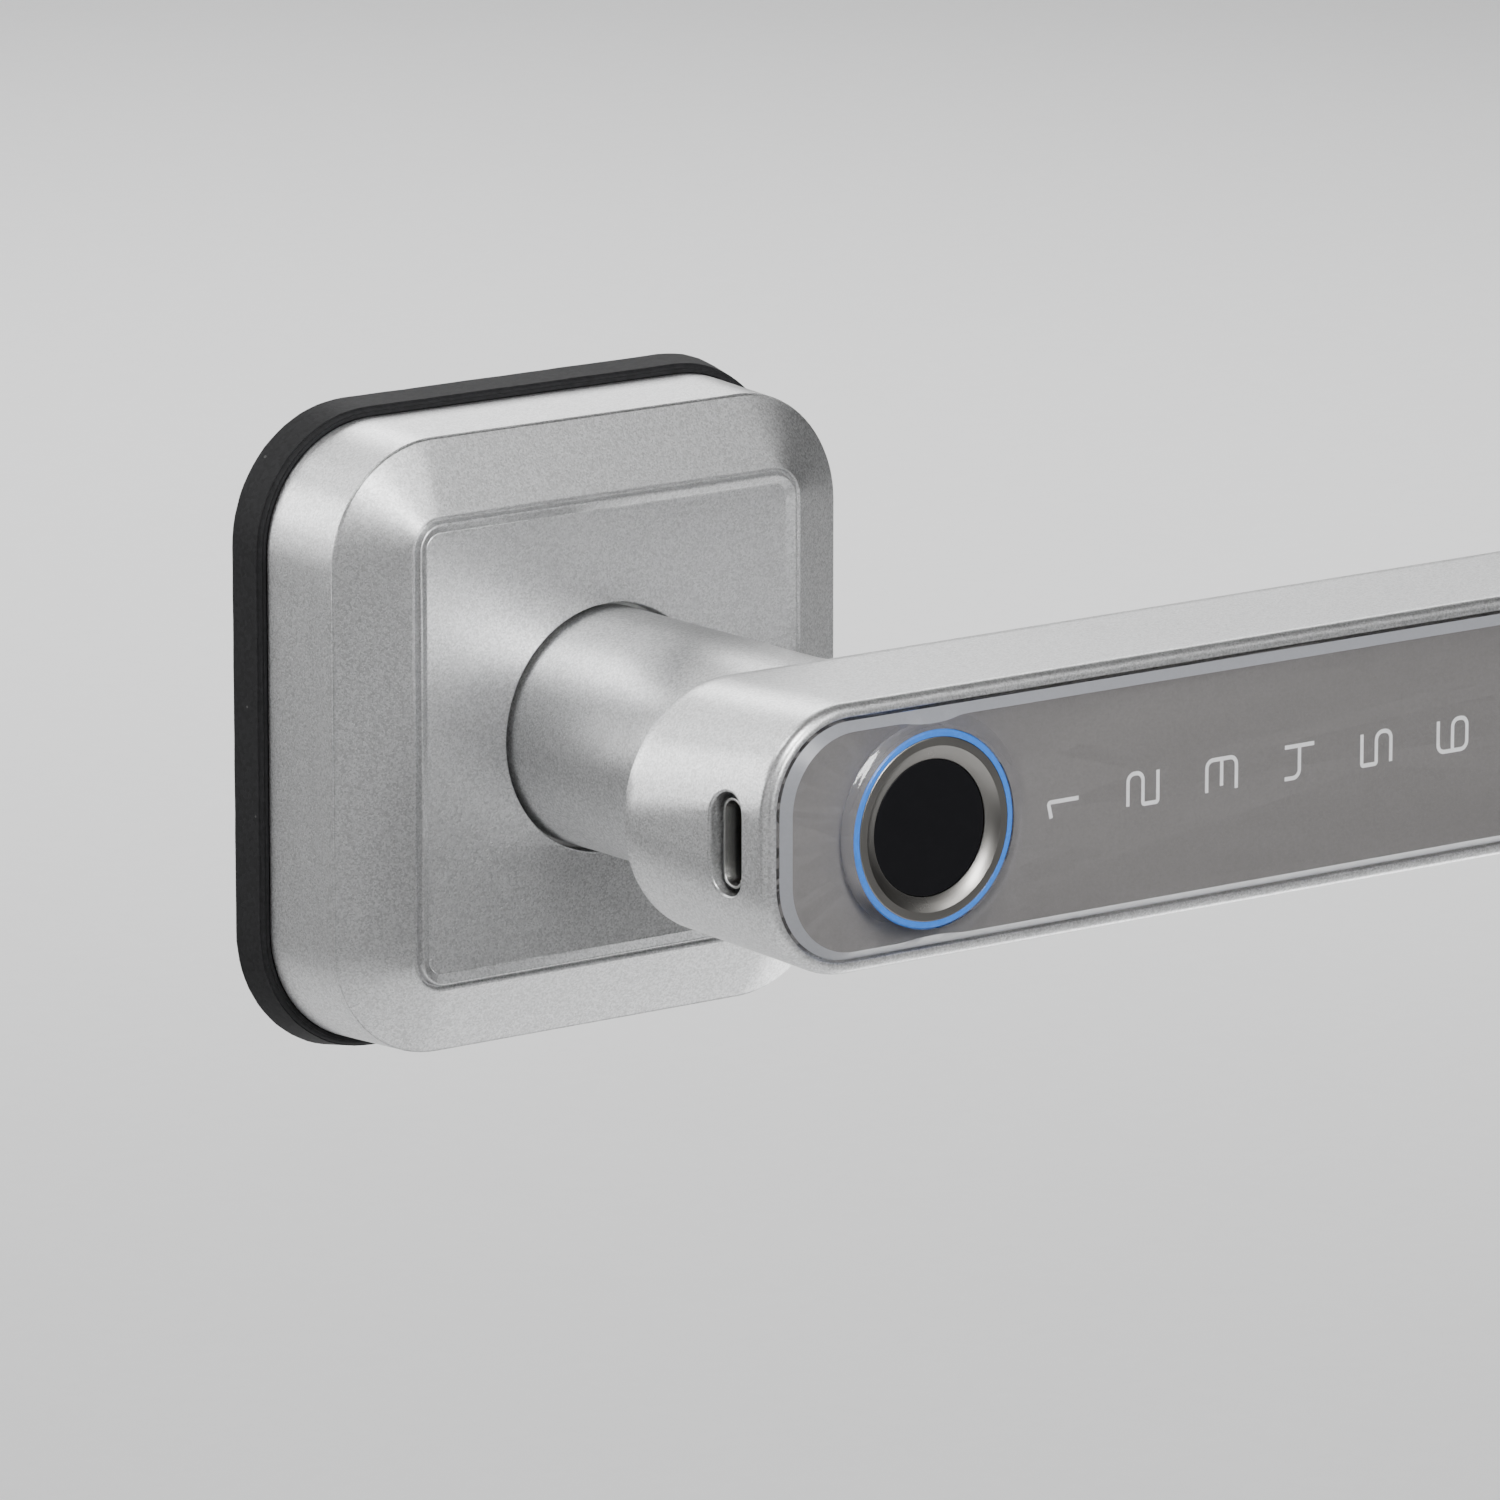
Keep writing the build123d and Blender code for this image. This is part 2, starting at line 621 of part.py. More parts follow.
def digit_lines(points, corner):
    """One stroke of a digit. Points are (across, up) in half widths and half heights.

    The keypad is read with the lever upright, so "up" on a digit is towards the neck.
    """
    placed = [(-up * digit_height / 2, across * digit_width / 2) for across, up in points]
    if len(placed) == 2:
        return Line(*placed)
    return FilletPolyline(*placed, radius=corner)


rounded, tight = digit_round, digit_corner
digit_strokes = {
    "1": [([(-0.9, 0.8), (0.1, 1), (0.1, -1)], [tight])],
    "2": [([(-1, 1), (1, 1), (1, 0), (-1, 0), (-1, -1), (1, -1)],
           [rounded, rounded, tight, tight])],
    "3": [([(-1, 1), (1, 1), (1, -1), (-1, -1)], [rounded, rounded]),
          ([(-0.7, 0), (1, 0)], None)],
    "4": [([(1, 1), (1, -1)], None),
          ([(-1, 1), (-1, 0), (1, 0)], [rounded])],
    "5": [([(1, 1), (-1, 1), (-1, 0), (1, 0), (1, -1), (-1, -1)],
           [tight, tight, rounded, rounded])],
    "6": [([(1, 1), (-1, 1), (-1, -1), (0, -1)], [rounded, rounded]),
          ([(0, -1), (1, -1), (1, 0), (-1, 0)], [rounded, rounded])],
    "7": [([(-1, 1), (1, 1), (1, -1)], [rounded])],
    "8": [([(0, 1), (-1, 1), (-1, -1), (0, -1)], [rounded, rounded]),
          ([(0, -1), (1, -1), (1, 1), (0, 1)], [rounded, rounded]),
          ([(-1, 0), (1, 0)], None)],
    "9": [([(1, 0), (-1, 0), (-1, 1), (0, 1)], [rounded, rounded]),
          ([(0, 1), (1, 1), (1, -1), (-1, -1)], [rounded, rounded])],
    "0": [([(0, 1), (-1, 1), (-1, -1), (0, -1)], [rounded, rounded]),
          ([(0, -1), (1, -1), (1, 1), (0, 1)], [rounded, rounded])],
    "#": [([(-0.45, 1), (-0.45, -1)], None), ([(0.45, 1), (0.45, -1)], None),
          ([(-1, 0.4), (1, 0.4)], None), ([(-1, -0.4), (1, -0.4)], None)],
}


def digit_faces():
    """The faces of all the keypad's marks, in order along the lever."""
    for column, strokes in zip(key_columns, digit_strokes.values()):
        with Locations((column, 0)):
            for points, corners in strokes:
                with BuildSketch(mode=Mode.PRIVATE) as stroke:
                    with BuildLine() as path:
                        digit_lines(points, corners)
                    trace(path.line, digit_stroke)
                add(stroke.sketch)


with BuildPart() as digit_marks:
    with BuildSketch(out(lens_back_depth - mask_thickness)):
        digit_faces()
    extrude(amount=mask_thickness)
save(digit_marks, "digit_marks")

with BuildPart() as panel_mask:
    with BuildSketch(out(lens_back_depth - mask_thickness)):
        lever_loop(lens_left, lens_right, lens_half, lens_corner)
        with Locations((sensor_x, 0)):
            Circle(lens_hole, mode=Mode.SUBTRACT)
    extrude(amount=mask_thickness)
    with BuildSketch(out(lens_back_depth - mask_thickness)):
        digit_faces()
    extrude(amount=mask_thickness, mode=Mode.SUBTRACT)
save(panel_mask, "panel_mask")


# ================================================================ boards, tray and battery
def board_layer(low, high, half):
    """A board's outline, square by the sensor and rounded at the lever's far end."""
    with BuildSketch(out(low)) as outline:
        with Locations(((board_left + board_right) / 2, 0)):
            Rectangle(board_right - board_left, 2 * half)
        far_corners = outline.vertices().group_by(Axis.X)[-1]
        fillet(far_corners, board_corner)
    extrude(outline.sketch, amount=high - low)


with BuildPart() as touch_board:
    board_layer(board_top_depth - touch_board_thickness, board_top_depth, board_half)
    with BuildSketch(out(board_top_depth)):
        with Locations(*[(column, 0) for column in key_columns[:-1]]):
            Rectangle(key_window, key_window)
    extrude(amount=-touch_board_thickness, mode=Mode.SUBTRACT)
save(touch_board, "touch_board")

guide_front = board_top_depth - touch_board_thickness
with BuildPart() as light_guide:
    with BuildSketch(out(guide_front)):
        with Locations(((key_columns[0] + key_columns[-1]) / 2, 0)):
            Rectangle(key_columns[-1] - key_columns[0] + key_window, 2 * light_guide_half)
    extrude(amount=-light_guide_thickness)
save(light_guide, "light_guide")

with BuildPart() as main_board:
    board_layer(main_board_back, main_board_front, board_half)
    with BuildSketch(out(main_board_back)):
        for column in board_screw_columns:
            with Locations((column, board_screw_row), (column, -board_screw_row)):
                Circle(small_screw_radius)
    extrude(amount=main_board_thickness, mode=Mode.SUBTRACT)
save(main_board, "main_board")

with BuildPart() as key_leds:
    with BuildSketch(out(main_board_front)):
        with Locations(*[(column, 0) for column in key_columns]):
            Rectangle(led_size, led_size)
    extrude(amount=led_height)
save(key_leds, "key_leds")

with BuildPart() as board_chips:
    with BuildSketch(out(main_board_back)):
        for along, across, length, width in chip_layout:
            with Locations((along, across)):
                Rectangle(length, width)
    extrude(amount=-chip_height)
save(board_chips, "board_chips")

with BuildPart() as chassis_tray:
    board_layer(pocket_floor_depth, main_board_back, board_half)
    with BuildSketch(out(tray_floor_depth)) as hollow:
        with Locations(((board_left + board_right) / 2, 0)):
            Rectangle(board_right - board_left - 2 * tray_wall, 2 * (board_half - tray_wall))
        fillet(hollow.vertices().group_by(Axis.X)[-1], board_corner - tray_wall)
    extrude(amount=main_board_back - tray_floor_depth, mode=Mode.SUBTRACT)
    with BuildSketch(out(tray_floor_depth)):
        for column in board_screw_columns:
            with Locations((column, board_screw_row), (column, -board_screw_row)):
                Circle(boss_radius)
    extrude(amount=main_board_back - tray_floor_depth)
    with BuildSketch(out(main_board_back)):
        for column in board_screw_columns:
            with Locations((column, board_screw_row), (column, -board_screw_row)):
                Circle(small_screw_radius)
    extrude(amount=-board_screw_grip, mode=Mode.SUBTRACT)
    with BuildSketch(out(pocket_floor_depth)):
        for column in chassis_screw_columns:
            with Locations((column, chassis_screw_row), (column, -chassis_screw_row)):
                Circle(small_screw_radius)
    extrude(amount=tray_floor, mode=Mode.SUBTRACT)
save(chassis_tray, "chassis_tray")


def small_screws(columns, row, head_back, length):
    """Pan-head screws in two rows, with the head's underside at one depth."""
    spots = [(column, side * row) for column in columns for side in (1, -1)]
    with BuildSketch(out(head_back)) as heads:
        with Locations(*spots):
            Circle(small_head_radius)
    extrude(heads.sketch, amount=small_head_height)
    with BuildSketch(out(head_back)) as shanks:
        with Locations(*spots):
            Circle(small_screw_radius)
    extrude(shanks.sketch, amount=-length)
    with BuildSketch(out(head_back + small_head_height)) as crosses:
        with Locations(*spots):
            Rectangle(cross_slot_length, cross_slot_width)
            Rectangle(cross_slot_width, cross_slot_length)
    extrude(crosses.sketch, amount=-cross_slot_depth, mode=Mode.SUBTRACT)


with BuildPart() as chassis_screws:
    small_screws(chassis_screw_columns, chassis_screw_row, tray_floor_depth,
                 tray_floor + chassis_screw_grip)
save(chassis_screws, "chassis_screws")

with BuildPart() as board_screws:
    small_screws(board_screw_columns, board_screw_row, main_board_front,
                 main_board_thickness + board_screw_grip)
save(board_screws, "board_screws")

with BuildPart() as battery_cell:
    with BuildSketch(out(tray_floor_depth)):
        with Locations((battery_left + battery_length / 2, 0)):
            RectangleRounded(battery_length, battery_width, battery_round)
    extrude(amount=battery_thickness)
    fillet(battery_cell.faces().sort_by(Axis.Y)[0].edges(), battery_round / 2)
save(battery_cell, "battery_cell")

with BuildPart() as buzzer:
    disc(tray_floor_depth, tray_floor_depth + buzzer_height, buzzer_radius, x=buzzer_x)
    disc(tray_floor_depth + buzzer_height / 2, tray_floor_depth + buzzer_height, buzzer_port_radius,
         x=buzzer_x, mode=Mode.SUBTRACT)
save(buzzer, "buzzer")

# ================================================================ fingerprint sensor
disc_back = disc_depth - disc_thickness
sensor_board_front = bezel_back_depth - sensor_base_thickness

with BuildPart() as sensor_disc:
    disc(disc_back, disc_depth, disc_radius, x=sensor_x)
    chamfer(edges_at(sensor_disc, disc_depth), disc_edge)
save(sensor_disc, "sensor_disc")

with BuildPart() as sensor_bezel:
    with BuildSketch(Plane.XY):
        with BuildLine():
            bore_x = sensor_x + disc_radius + running_fit
            cone_foot = -disc_depth - running_fit
            Polyline((bore_x, -bezel_back_depth), (sensor_x + bezel_radius, -bezel_back_depth),
                     (sensor_x + bezel_radius, -bezel_front_depth),
                     (sensor_x + bezel_cone_radius, -bezel_front_depth),
                     (bore_x + slip_fit, cone_foot), (bore_x, cone_foot), close=True)
        make_face()
    revolve(axis=Axis((sensor_x, 0, 0), (0, 1, 0)))
    fillet(edges_at(sensor_bezel, bezel_front_depth), bezel_rim_round)
save(sensor_bezel, "sensor_bezel")

with BuildPart() as light_ring:
    disc(bezel_back_depth, bezel_front_depth, ring_radius, x=sensor_x)
    disc(bezel_back_depth, bezel_front_depth, bezel_radius, x=sensor_x, mode=Mode.SUBTRACT)
    fillet(edges_at(light_ring, bezel_front_depth).sort_by(SortBy.LENGTH)[-1], light_ring_round)
save(light_ring, "light_ring")

with BuildPart() as sensor_module:
    disc(sensor_board_front, bezel_back_depth, bezel_radius - slip_fit, x=sensor_x)
    disc(bezel_back_depth, disc_back, disc_radius - slip_fit, x=sensor_x)
save(sensor_module, "sensor_module")

with BuildPart() as ring_leds:
    with BuildSketch(out(sensor_board_front)):
        with Locations((sensor_x, 0)):
            with PolarLocations((bezel_radius + lens_hole) / 2, ring_led_count):
                Rectangle(ring_led_size, ring_led_size)
    extrude(amount=ring_led_height)
save(ring_leds, "ring_leds")

with BuildPart() as sensor_board:
    disc(sensor_board_front - sensor_board_thickness, sensor_board_front, sensor_board_radius,
         x=sensor_x)
save(sensor_board, "sensor_board")

with BuildPart() as sensor_holder:
    holder_front = sensor_board_front - sensor_board_thickness
    disc(pocket_floor_depth, holder_front, sensor_board_radius, x=sensor_x)
    disc(pocket_floor_depth, holder_front, sensor_board_radius - sensor_holder_wall, x=sensor_x,
         mode=Mode.SUBTRACT)
save(sensor_holder, "sensor_holder")

# ================================================================ charging port
end_face = lever_left + lever_flare * (lever_front_depth - port_depth) / (
    lever_front_depth - lever_back_depth)
shell_mouth = -end_face + shell_setback


def port_slot(x, length, width, depth, mode=Mode.ADD):
    """An upright slot shape, carried along +X."""
    with BuildSketch(Plane.YZ.offset(x)) as slot:
        with Locations((-port_depth, 0)):
            SlotOverall(length, width, rotation=90)
    extrude(slot.sketch, amount=depth, mode=mode)


with BuildPart() as usb_shell:
    port_slot(shell_mouth, shell_length, shell_width, shell_depth)
    port_slot(shell_mouth, shell_length - 2 * shell_wall, shell_width - 2 * shell_wall, shell_depth,
              mode=Mode.SUBTRACT)
save(usb_shell, "usb_shell")

tongue_root = shell_mouth + shell_depth - tongue_root_length
with BuildPart() as usb_tongue:
    port_slot(tongue_root, shell_length - 2 * shell_wall, shell_width - 2 * shell_wall,
              tongue_root_length)
    with BuildSketch(Plane.YZ.offset(tongue_root)):
        with Locations((-port_depth, 0)):
            Rectangle(tongue_width, tongue_length)
    extrude(amount=-tongue_reach)
save(usb_tongue, "usb_tongue")

with BuildPart() as usb_contacts:
    with BuildSketch(Plane.YZ.offset(tongue_root)):
        for side in (1, -1):
            with Locations((-port_depth + side * (tongue_width + contact_thickness) / 2, 0)):
                with GridLocations(contact_pitch, contact_pitch, 1, contact_count):
                    Rectangle(contact_thickness, contact_width)
    extrude(amount=contact_setback - tongue_reach)
save(usb_contacts, "usb_contacts")

with BuildPart() as usb_board:
    board_back = port_depth - shell_width / 2 - port_board_thickness
    with BuildSketch(out(board_back)):
        with Locations((shell_mouth + port_board_setback, 0)):
            Rectangle(port_board_length, port_board_width)
    extrude(amount=port_board_thickness)
save(usb_board, "usb_board")

# ================================================================ clutch and spindle
with BuildPart() as clutch_slider:
    disc(clutch_depth, clutch_depth + clutch_thickness, clutch_bore_radius - free_gap)
    disc(nose_depth, clutch_depth, nose_radius, z=nose_offset)
    disc(clutch_depth, clutch_depth + clutch_thickness, screw_radius + slip_fit, mode=Mode.SUBTRACT)
    with BuildSketch(out(clutch_depth)):
        with Locations((0, -clutch_bore_radius)):
            Rectangle(key_rib_width + 2 * free_gap, 2 * key_rib_height + 2 * free_gap)
    extrude(amount=clutch_thickness, mode=Mode.SUBTRACT)
save(clutch_slider, "clutch_slider")

with BuildPart() as lead_screw:
    disc(screw_tip_depth, coupler_depth, screw_radius)
    disc(coupler_depth, coupler_depth + coupler_length, coupler_radius)
    disc(coupler_depth + coupler_length - coupler_bore_length, coupler_depth + coupler_length,
         motor_shaft_radius + slip_fit, mode=Mode.SUBTRACT)
save(lead_screw, "lead_screw")

with BuildPart() as clutch_motor:
    motor_back = bracket_depth + bracket_floor
    disc(motor_back, motor_back + motor_length, motor_radius)
    disc(coupler_depth + coupler_length - motor_shaft_grip, motor_back, motor_shaft_radius)
    disc(motor_back + motor_length, motor_back + motor_length + motor_cap_length,
         motor_radius - motor_cap_step)
save(clutch_motor, "clutch_motor")

with BuildPart() as motor_bracket:
    disc(bracket_depth, bracket_end_depth, clutch_bore_radius - running_fit)
    disc(motor_back, bracket_end_depth, motor_radius + running_fit, mode=Mode.SUBTRACT)
    disc(bracket_depth, motor_back, 2 * motor_shaft_radius, mode=Mode.SUBTRACT)
save(motor_bracket, "motor_bracket")

with BuildPart() as spindle_hub:
    disc(hub_back_depth, hub_front_depth, hub_bore_radius - running_fit)
    with BuildSketch(out(hub_back_depth)):
        Rectangle(spindle_side + 2 * running_fit, spindle_side + 2 * running_fit)
    extrude(amount=spindle_in_hub, mode=Mode.SUBTRACT)
    disc(nose_depth - nose_gap, hub_front_depth, nose_radius + slip_fit, z=nose_offset,
         mode=Mode.SUBTRACT)
    with BuildSketch(Plane.YZ.offset(-hub_bore_radius)):
        with Locations((-pin_depth, 0)):
            Circle(pin_radius)
    extrude(amount=2 * hub_bore_radius, mode=Mode.SUBTRACT)
save(spindle_hub, "spindle_hub")

with BuildPart() as spindle:
    with BuildSketch(out(hub_back_depth + spindle_in_hub)):
        Rectangle(spindle_side, spindle_side)
    extrude(amount=-(hub_back_depth + spindle_in_hub + spindle_reach))
    chamfer(edges_at(spindle, -spindle_reach), spindle_chamfer)
    with BuildSketch(Plane.YZ.offset(-spindle_side)):
        with Locations((-pin_depth, 0)):
            Circle(pin_radius)
    extrude(amount=2 * spindle_side, mode=Mode.SUBTRACT)
save(spindle, "spindle")

with BuildPart() as spindle_pin:
    pin_half = hub_bore_radius - pin_sunk
    with BuildSketch(Plane.YZ.offset(-pin_half)):
        with Locations((-pin_depth, 0)):
            Circle(pin_radius)
    extrude(amount=2 * pin_half)
save(spindle_pin, "spindle_pin")

with BuildPart() as hub_ring:
    ring_front = hub_back_depth - free_gap
    disc(ring_front - hub_ring_width, ring_front, hub_bore_radius + ring_groove)
    disc(ring_front - hub_ring_width, ring_front, hub_bore_radius - circlip_proud, mode=Mode.SUBTRACT)
    with BuildSketch(out(ring_front - hub_ring_width)):
        ring_sector(hub_bore_radius / 2, hub_bore_radius * 2, 90, hub_ring_gap_angle)
    extrude(amount=hub_ring_width, mode=Mode.SUBTRACT)
save(hub_ring, "hub_ring")
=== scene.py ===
"""Looks of the keypad smart lock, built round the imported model, in metres."""

import json
import math

import bmesh
import bpy
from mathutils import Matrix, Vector


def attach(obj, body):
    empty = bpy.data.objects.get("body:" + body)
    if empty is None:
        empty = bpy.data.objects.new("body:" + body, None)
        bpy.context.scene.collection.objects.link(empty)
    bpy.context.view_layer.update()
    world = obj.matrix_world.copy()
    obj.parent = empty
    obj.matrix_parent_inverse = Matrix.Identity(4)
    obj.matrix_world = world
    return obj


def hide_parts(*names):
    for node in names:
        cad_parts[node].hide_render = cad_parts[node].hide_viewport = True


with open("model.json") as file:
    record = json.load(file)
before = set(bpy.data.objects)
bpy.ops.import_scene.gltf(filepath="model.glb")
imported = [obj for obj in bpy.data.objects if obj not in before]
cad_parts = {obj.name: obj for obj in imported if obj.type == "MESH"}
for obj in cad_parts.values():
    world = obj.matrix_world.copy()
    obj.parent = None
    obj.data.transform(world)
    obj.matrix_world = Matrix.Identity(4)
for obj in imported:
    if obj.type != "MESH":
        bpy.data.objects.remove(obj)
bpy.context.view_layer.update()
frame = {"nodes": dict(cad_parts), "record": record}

MM = 0.001

# ---------------------------------------------------------------- sizes, in millimetres
# A depth is a distance out from the door's surface, towards -Y.
# A pair is a square's half side and the radius of its corners.
GASKET_BACK = (33.3, 13.6)
GASKET_FRONT = (32.7, 13.6)
GASKET_SEAT = (31.9, 12.7)      # the pocket that the cover stands in
GASKET_DEPTH = 4.2
GASKET_HOLE_RADIUS = 15.0
POST_HOLE_RADIUS = 3.6
POST_Z = 19.0

COVER_BACK = (31.8, 12.6)
COVER_SHOULDER = (31.3, 12.3)
COVER_PANEL = (24.0, 3.3)
COVER_FOOT_DEPTH = 3.9
SHOULDER_DEPTH = 14.8
BEVEL_DEPTH = 18.4
PANEL_DEPTH = 18.3
PANEL_BACK_DEPTH = 16.6
# The band round the panel, as (distance in from the bevel, depth, rounding): groove, crest, slope.
BAND = ((0.16, 17.98, 0.05), (0.38, 17.98, 0.06), (0.55, 18.75, 0.1), (0.75, 18.75, 0.1),
        (1.6, 18.3, 0.08))
COVER_HOLE_RADIUS = 12.68
COVER_SCREW_RADIUS = 1.6         # the hole under the cover that its screw passes through
COVER_SCREW_DEPTH = 5.9

JOURNAL_RADIUS = 11.0
FLANGE_RADIUS = 11.6
FLANGE_DEPTHS = (14.7, 16.2)
NECK_RADIUS = 12.25
NECK_BORES = (9.6, 8.4)         # round the spindle hub, then round the clutch and motor
NECK_BORE_STEP = 20.4
FLARE_DEPTH = 43.0              # where the neck starts to widen towards the lever
FLARE_LENGTH = 9.62
FLARE_GROWTH = 0.4

LEVER_BACK = dict(left=23.85, right=128.0, half=12.75, corner=12.5)
LEVER_FRONT = dict(left=21.85, right=126.0, half=13.37, corner=10.0)
LEVER_DEPTHS = (52.7, 72.7)
RIM_ROUNDING = 1.15
RIM_WIDTH = 1.35
SEAT_DEPTH = 70.8               # the ledge that the lens stands on
SEAT_WIDTH = 3.0
POCKET_DEPTH = 55.2

LENS = dict(left=20.2, right=124.35, half=11.72, corner=8.35)
LENS_BACK_DEPTH = 71.2
LENS_EDGE_DEPTH = 72.7
LENS_FRONT_DEPTH = 73.6
LENS_HOLE_RADIUS = 9.85
COLLAR_HEIGHT = 0.4
COLLAR_TOP_RADIUS = 9.95
COLLAR_WIDTH = 1.85             # from its top out to the flat front

SENSOR_X = -2.4
DISC_RADIUS = 6.75
DISC_DEPTHS = (72.3, 73.2)
BEZEL_RADII = (6.8, 6.9, 8.2, 9.1)      # inside, foot of the cone, top of the cone, outside
BEZEL_DEPTHS = (69.9, 73.25, 74.0)
RING_RADIUS = 9.8

PORT_DEPTH = 67.0
PORT_SLOT = (10.2, 4.3)
PORT_LIP = 0.3                  # rounding of the port's mouth
PORT_LIP_END_X = -18.9
SHELL_SLOT = (8.94, 3.26)
SHELL_WALL = 0.3
SHELL_MOUTH_X = -21.42
SHELL_LENGTH = 7.3
CONTACT_COUNT = 12              # on each side of the tongue
CONTACT_PITCH = 0.5
CONTACT_WIDTH = 0.25
CONTACT_THICKNESS = 0.05
CONTACT_SETBACK = 0.8           # from the tongue's tip to the contacts
TONGUE_WIDTH = 0.7
TONGUE_TIP_X = -19.92
TONGUE_ROOT_X = -15.12

SHARP_ANGLE = 32                # degrees past which an edge is drawn sharp


# ================================================================ mesh helpers
def blend_sizes(start, end, share):
    """Sizes part of the way from the first to the second."""
    return {key: start[key] + (end[key] - start[key]) * share for key in start}


def shrink(sizes, by):
    """The same outline moved in by a distance on every side."""
    return {key: size - by for key, size in sizes.items()}


def square(half, corner):
    """The sizes of a square round the neck's axis."""
    return dict(left=half, right=half, half=half, corner=corner)


def outline(sizes, shares, corner_steps=20, end_steps=6):
    """Points (x, z) round an oblong with round corners, always the same number in the same order.

    shares are places along the long sides, from the right end (0) to the left end (1).
    """
    left, right, half, corner = (sizes[key] for key in ("left", "right", "half", "corner"))
    points = []

    def run(a, b, places):
        points.extend((a[0] + (b[0] - a[0]) * s, a[1] + (b[1] - a[1]) * s) for s in places)

    def arc(x, z, start):
        for step in range(corner_steps):
            angle = math.radians(start + 90 * step / corner_steps)
            points.append((x + corner * math.cos(angle), z + corner * math.sin(angle)))

    ends = [step / end_steps for step in range(end_steps)]
    run((right - corner, half), (-left + corner, half), shares)
    arc(-left + corner, half - corner, 90)
    run((-left, half - corner), (-left, -half + corner), ends)
    arc(-left + corner, -half + corner, 180)
    run((-left + corner, -half), (right - corner, -half),
        [0] + [1 - s for s in reversed(shares[1:])])
    arc(right - corner, -half + corner, 270)
    run((right, -half + corner), (right, half - corner), ends)
    arc(right - corner, half - corner, 0)
    return points


def circle_facing(points, radius, x=0.0):
    """A circle with one point in line with each point of an outline round it."""
    circle = []
    for px, pz in points:
        angle = math.atan2(pz, px - x)
        circle.append((x + radius * math.cos(angle), radius * math.sin(angle)))
    return circle


def rounded(corners, steps=8):
    """A closed profile with its corners rounded. Each corner is (first, second, ..., radius)."""
    path = []
    lead = 0.04         # to a second point past each end, which keeps the flats beside it flat
    count = len(corners)
    for index, corner in enumerate(corners):
        radius = corner[-1]
        here = Vector(corner[:-1])
        if radius <= 0:
            path.append(here)
            continue
        before = Vector(corners[index - 1][:-1]) - here
        after = Vector(corners[(index + 1) % count][:-1]) - here
        flat_before, flat_after = Vector(before[:2]), Vector(after[:2])
        half_angle = flat_before.angle(flat_after) / 2
        reach = radius / math.tan(half_angle)
        start = here + before * (reach / flat_before.length)
        end = here + after * (reach / flat_after.length)
        middle = (start + end) / 2
        inside = middle - here
        centre = here + inside * (radius / math.sin(half_angle) / inside.to_2d().length)
        swing = math.pi / 2 - half_angle
        path.append(start + before.normalized() * lead)
        for step in range(steps + 1):
            turn = -swing + 2 * swing * step / steps
            inward = (here - centre).normalized()
            along = (end - start).normalized()
            path.append(centre + (inward * math.cos(turn) + along * math.sin(turn)) * radius)
        path.append(end + after.normalized() * lead)
    return path


def finish_mesh(name, mesh_data, material, sharp=SHARP_ANGLE):
    """An object with smooth shading, outward faces and its first material."""
    bmesh.ops.recalc_face_normals(mesh_data, faces=mesh_data.faces)
    mesh = bpy.data.meshes.new(name)
    mesh_data.to_mesh(mesh)
    mesh_data.free()
    mesh.shade_smooth()
    mesh.set_sharp_from_angle(angle=math.radians(sharp))
    mesh.materials.append(material)
    piece = bpy.data.objects.new(name, mesh)
    bpy.context.scene.collection.objects.link(piece)
    return piece


def ring_of_loops(mesh_data, loops, closed=True):
    """Quads between loops of (x, depth, z). The last joins the first, or both ends are capped."""
    rows = [[mesh_data.verts.new((x * MM, -depth * MM, z * MM)) for x, depth, z in loop]
            for loop in loops]
    count = len(rows[0])
    pairs = list(zip(rows, rows[1:] + ([rows[0]] if closed else [])))
    for near, far in pairs:
        for i in range(count):
            j = (i + 1) % count
            mesh_data.faces.new((near[i], near[j], far[j], far[i]))
    if not closed:
        mesh_data.faces.new(rows[0])
        mesh_data.faces.new(list(reversed(rows[-1])))
    return rows


def at_depth(points, depth):
    """A flat loop of (x, depth, z)."""
    return [(x, depth, z) for x, z in points]


def turned(name, profile, material, steps=144):
    """A closed profile of (radius, depth), spun round the sensor's axis."""
    mesh_data = bmesh.new()
    loops = []
    for radius, depth in profile:
        loops.append([(SENSOR_X + radius * math.cos(2 * math.pi * i / steps), depth,
                       radius * math.sin(2 * math.pi * i / steps)) for i in range(steps)])
    ring_of_loops(mesh_data, loops)
    return finish_mesh(name, mesh_data, material)


def slot_points(length, width, steps=16):
    """Points (depth offset, z) round an upright slot."""
    radius, straight = width / 2, (length - width) / 2
    points = []
    for step in range(steps + 1):
        angle = math.pi * step / steps
        points.append((radius * math.cos(angle), straight + radius * math.sin(angle)))
    for step in range(steps + 1):
        angle = math.pi + math.pi * step / steps
        points.append((radius * math.cos(angle), -straight + radius * math.sin(angle)))
    return points


def cut(piece, tool):
    """Takes the tool's shape out of the piece."""
    boolean = piece.modifiers.new("cut", "BOOLEAN")
    boolean.operation = "DIFFERENCE"
    boolean.solver = "EXACT"
    boolean.object = tool
    evaluated = piece.evaluated_get(bpy.context.evaluated_depsgraph_get())
    mesh = bpy.data.meshes.new_from_object(evaluated)
    piece.modifiers.clear()
    piece.data = mesh
    bpy.data.objects.remove(tool)
    mesh.set_sharp_from_angle(angle=math.radians(SHARP_ANGLE))


def round_tool(radius, low, high, z, steps=48):
    """A round cutting tool along Y, between two depths."""
    mesh_data = bmesh.new()
    loops = [[(radius * math.cos(2 * math.pi * i / steps), depth,
               z + radius * math.sin(2 * math.pi * i / steps)) for i in range(steps)]
             for depth in (low, high)]
    ring_of_loops(mesh_data, loops, closed=False)
    return finish_mesh("tool", mesh_data, MATERIALS["silver_paint"])


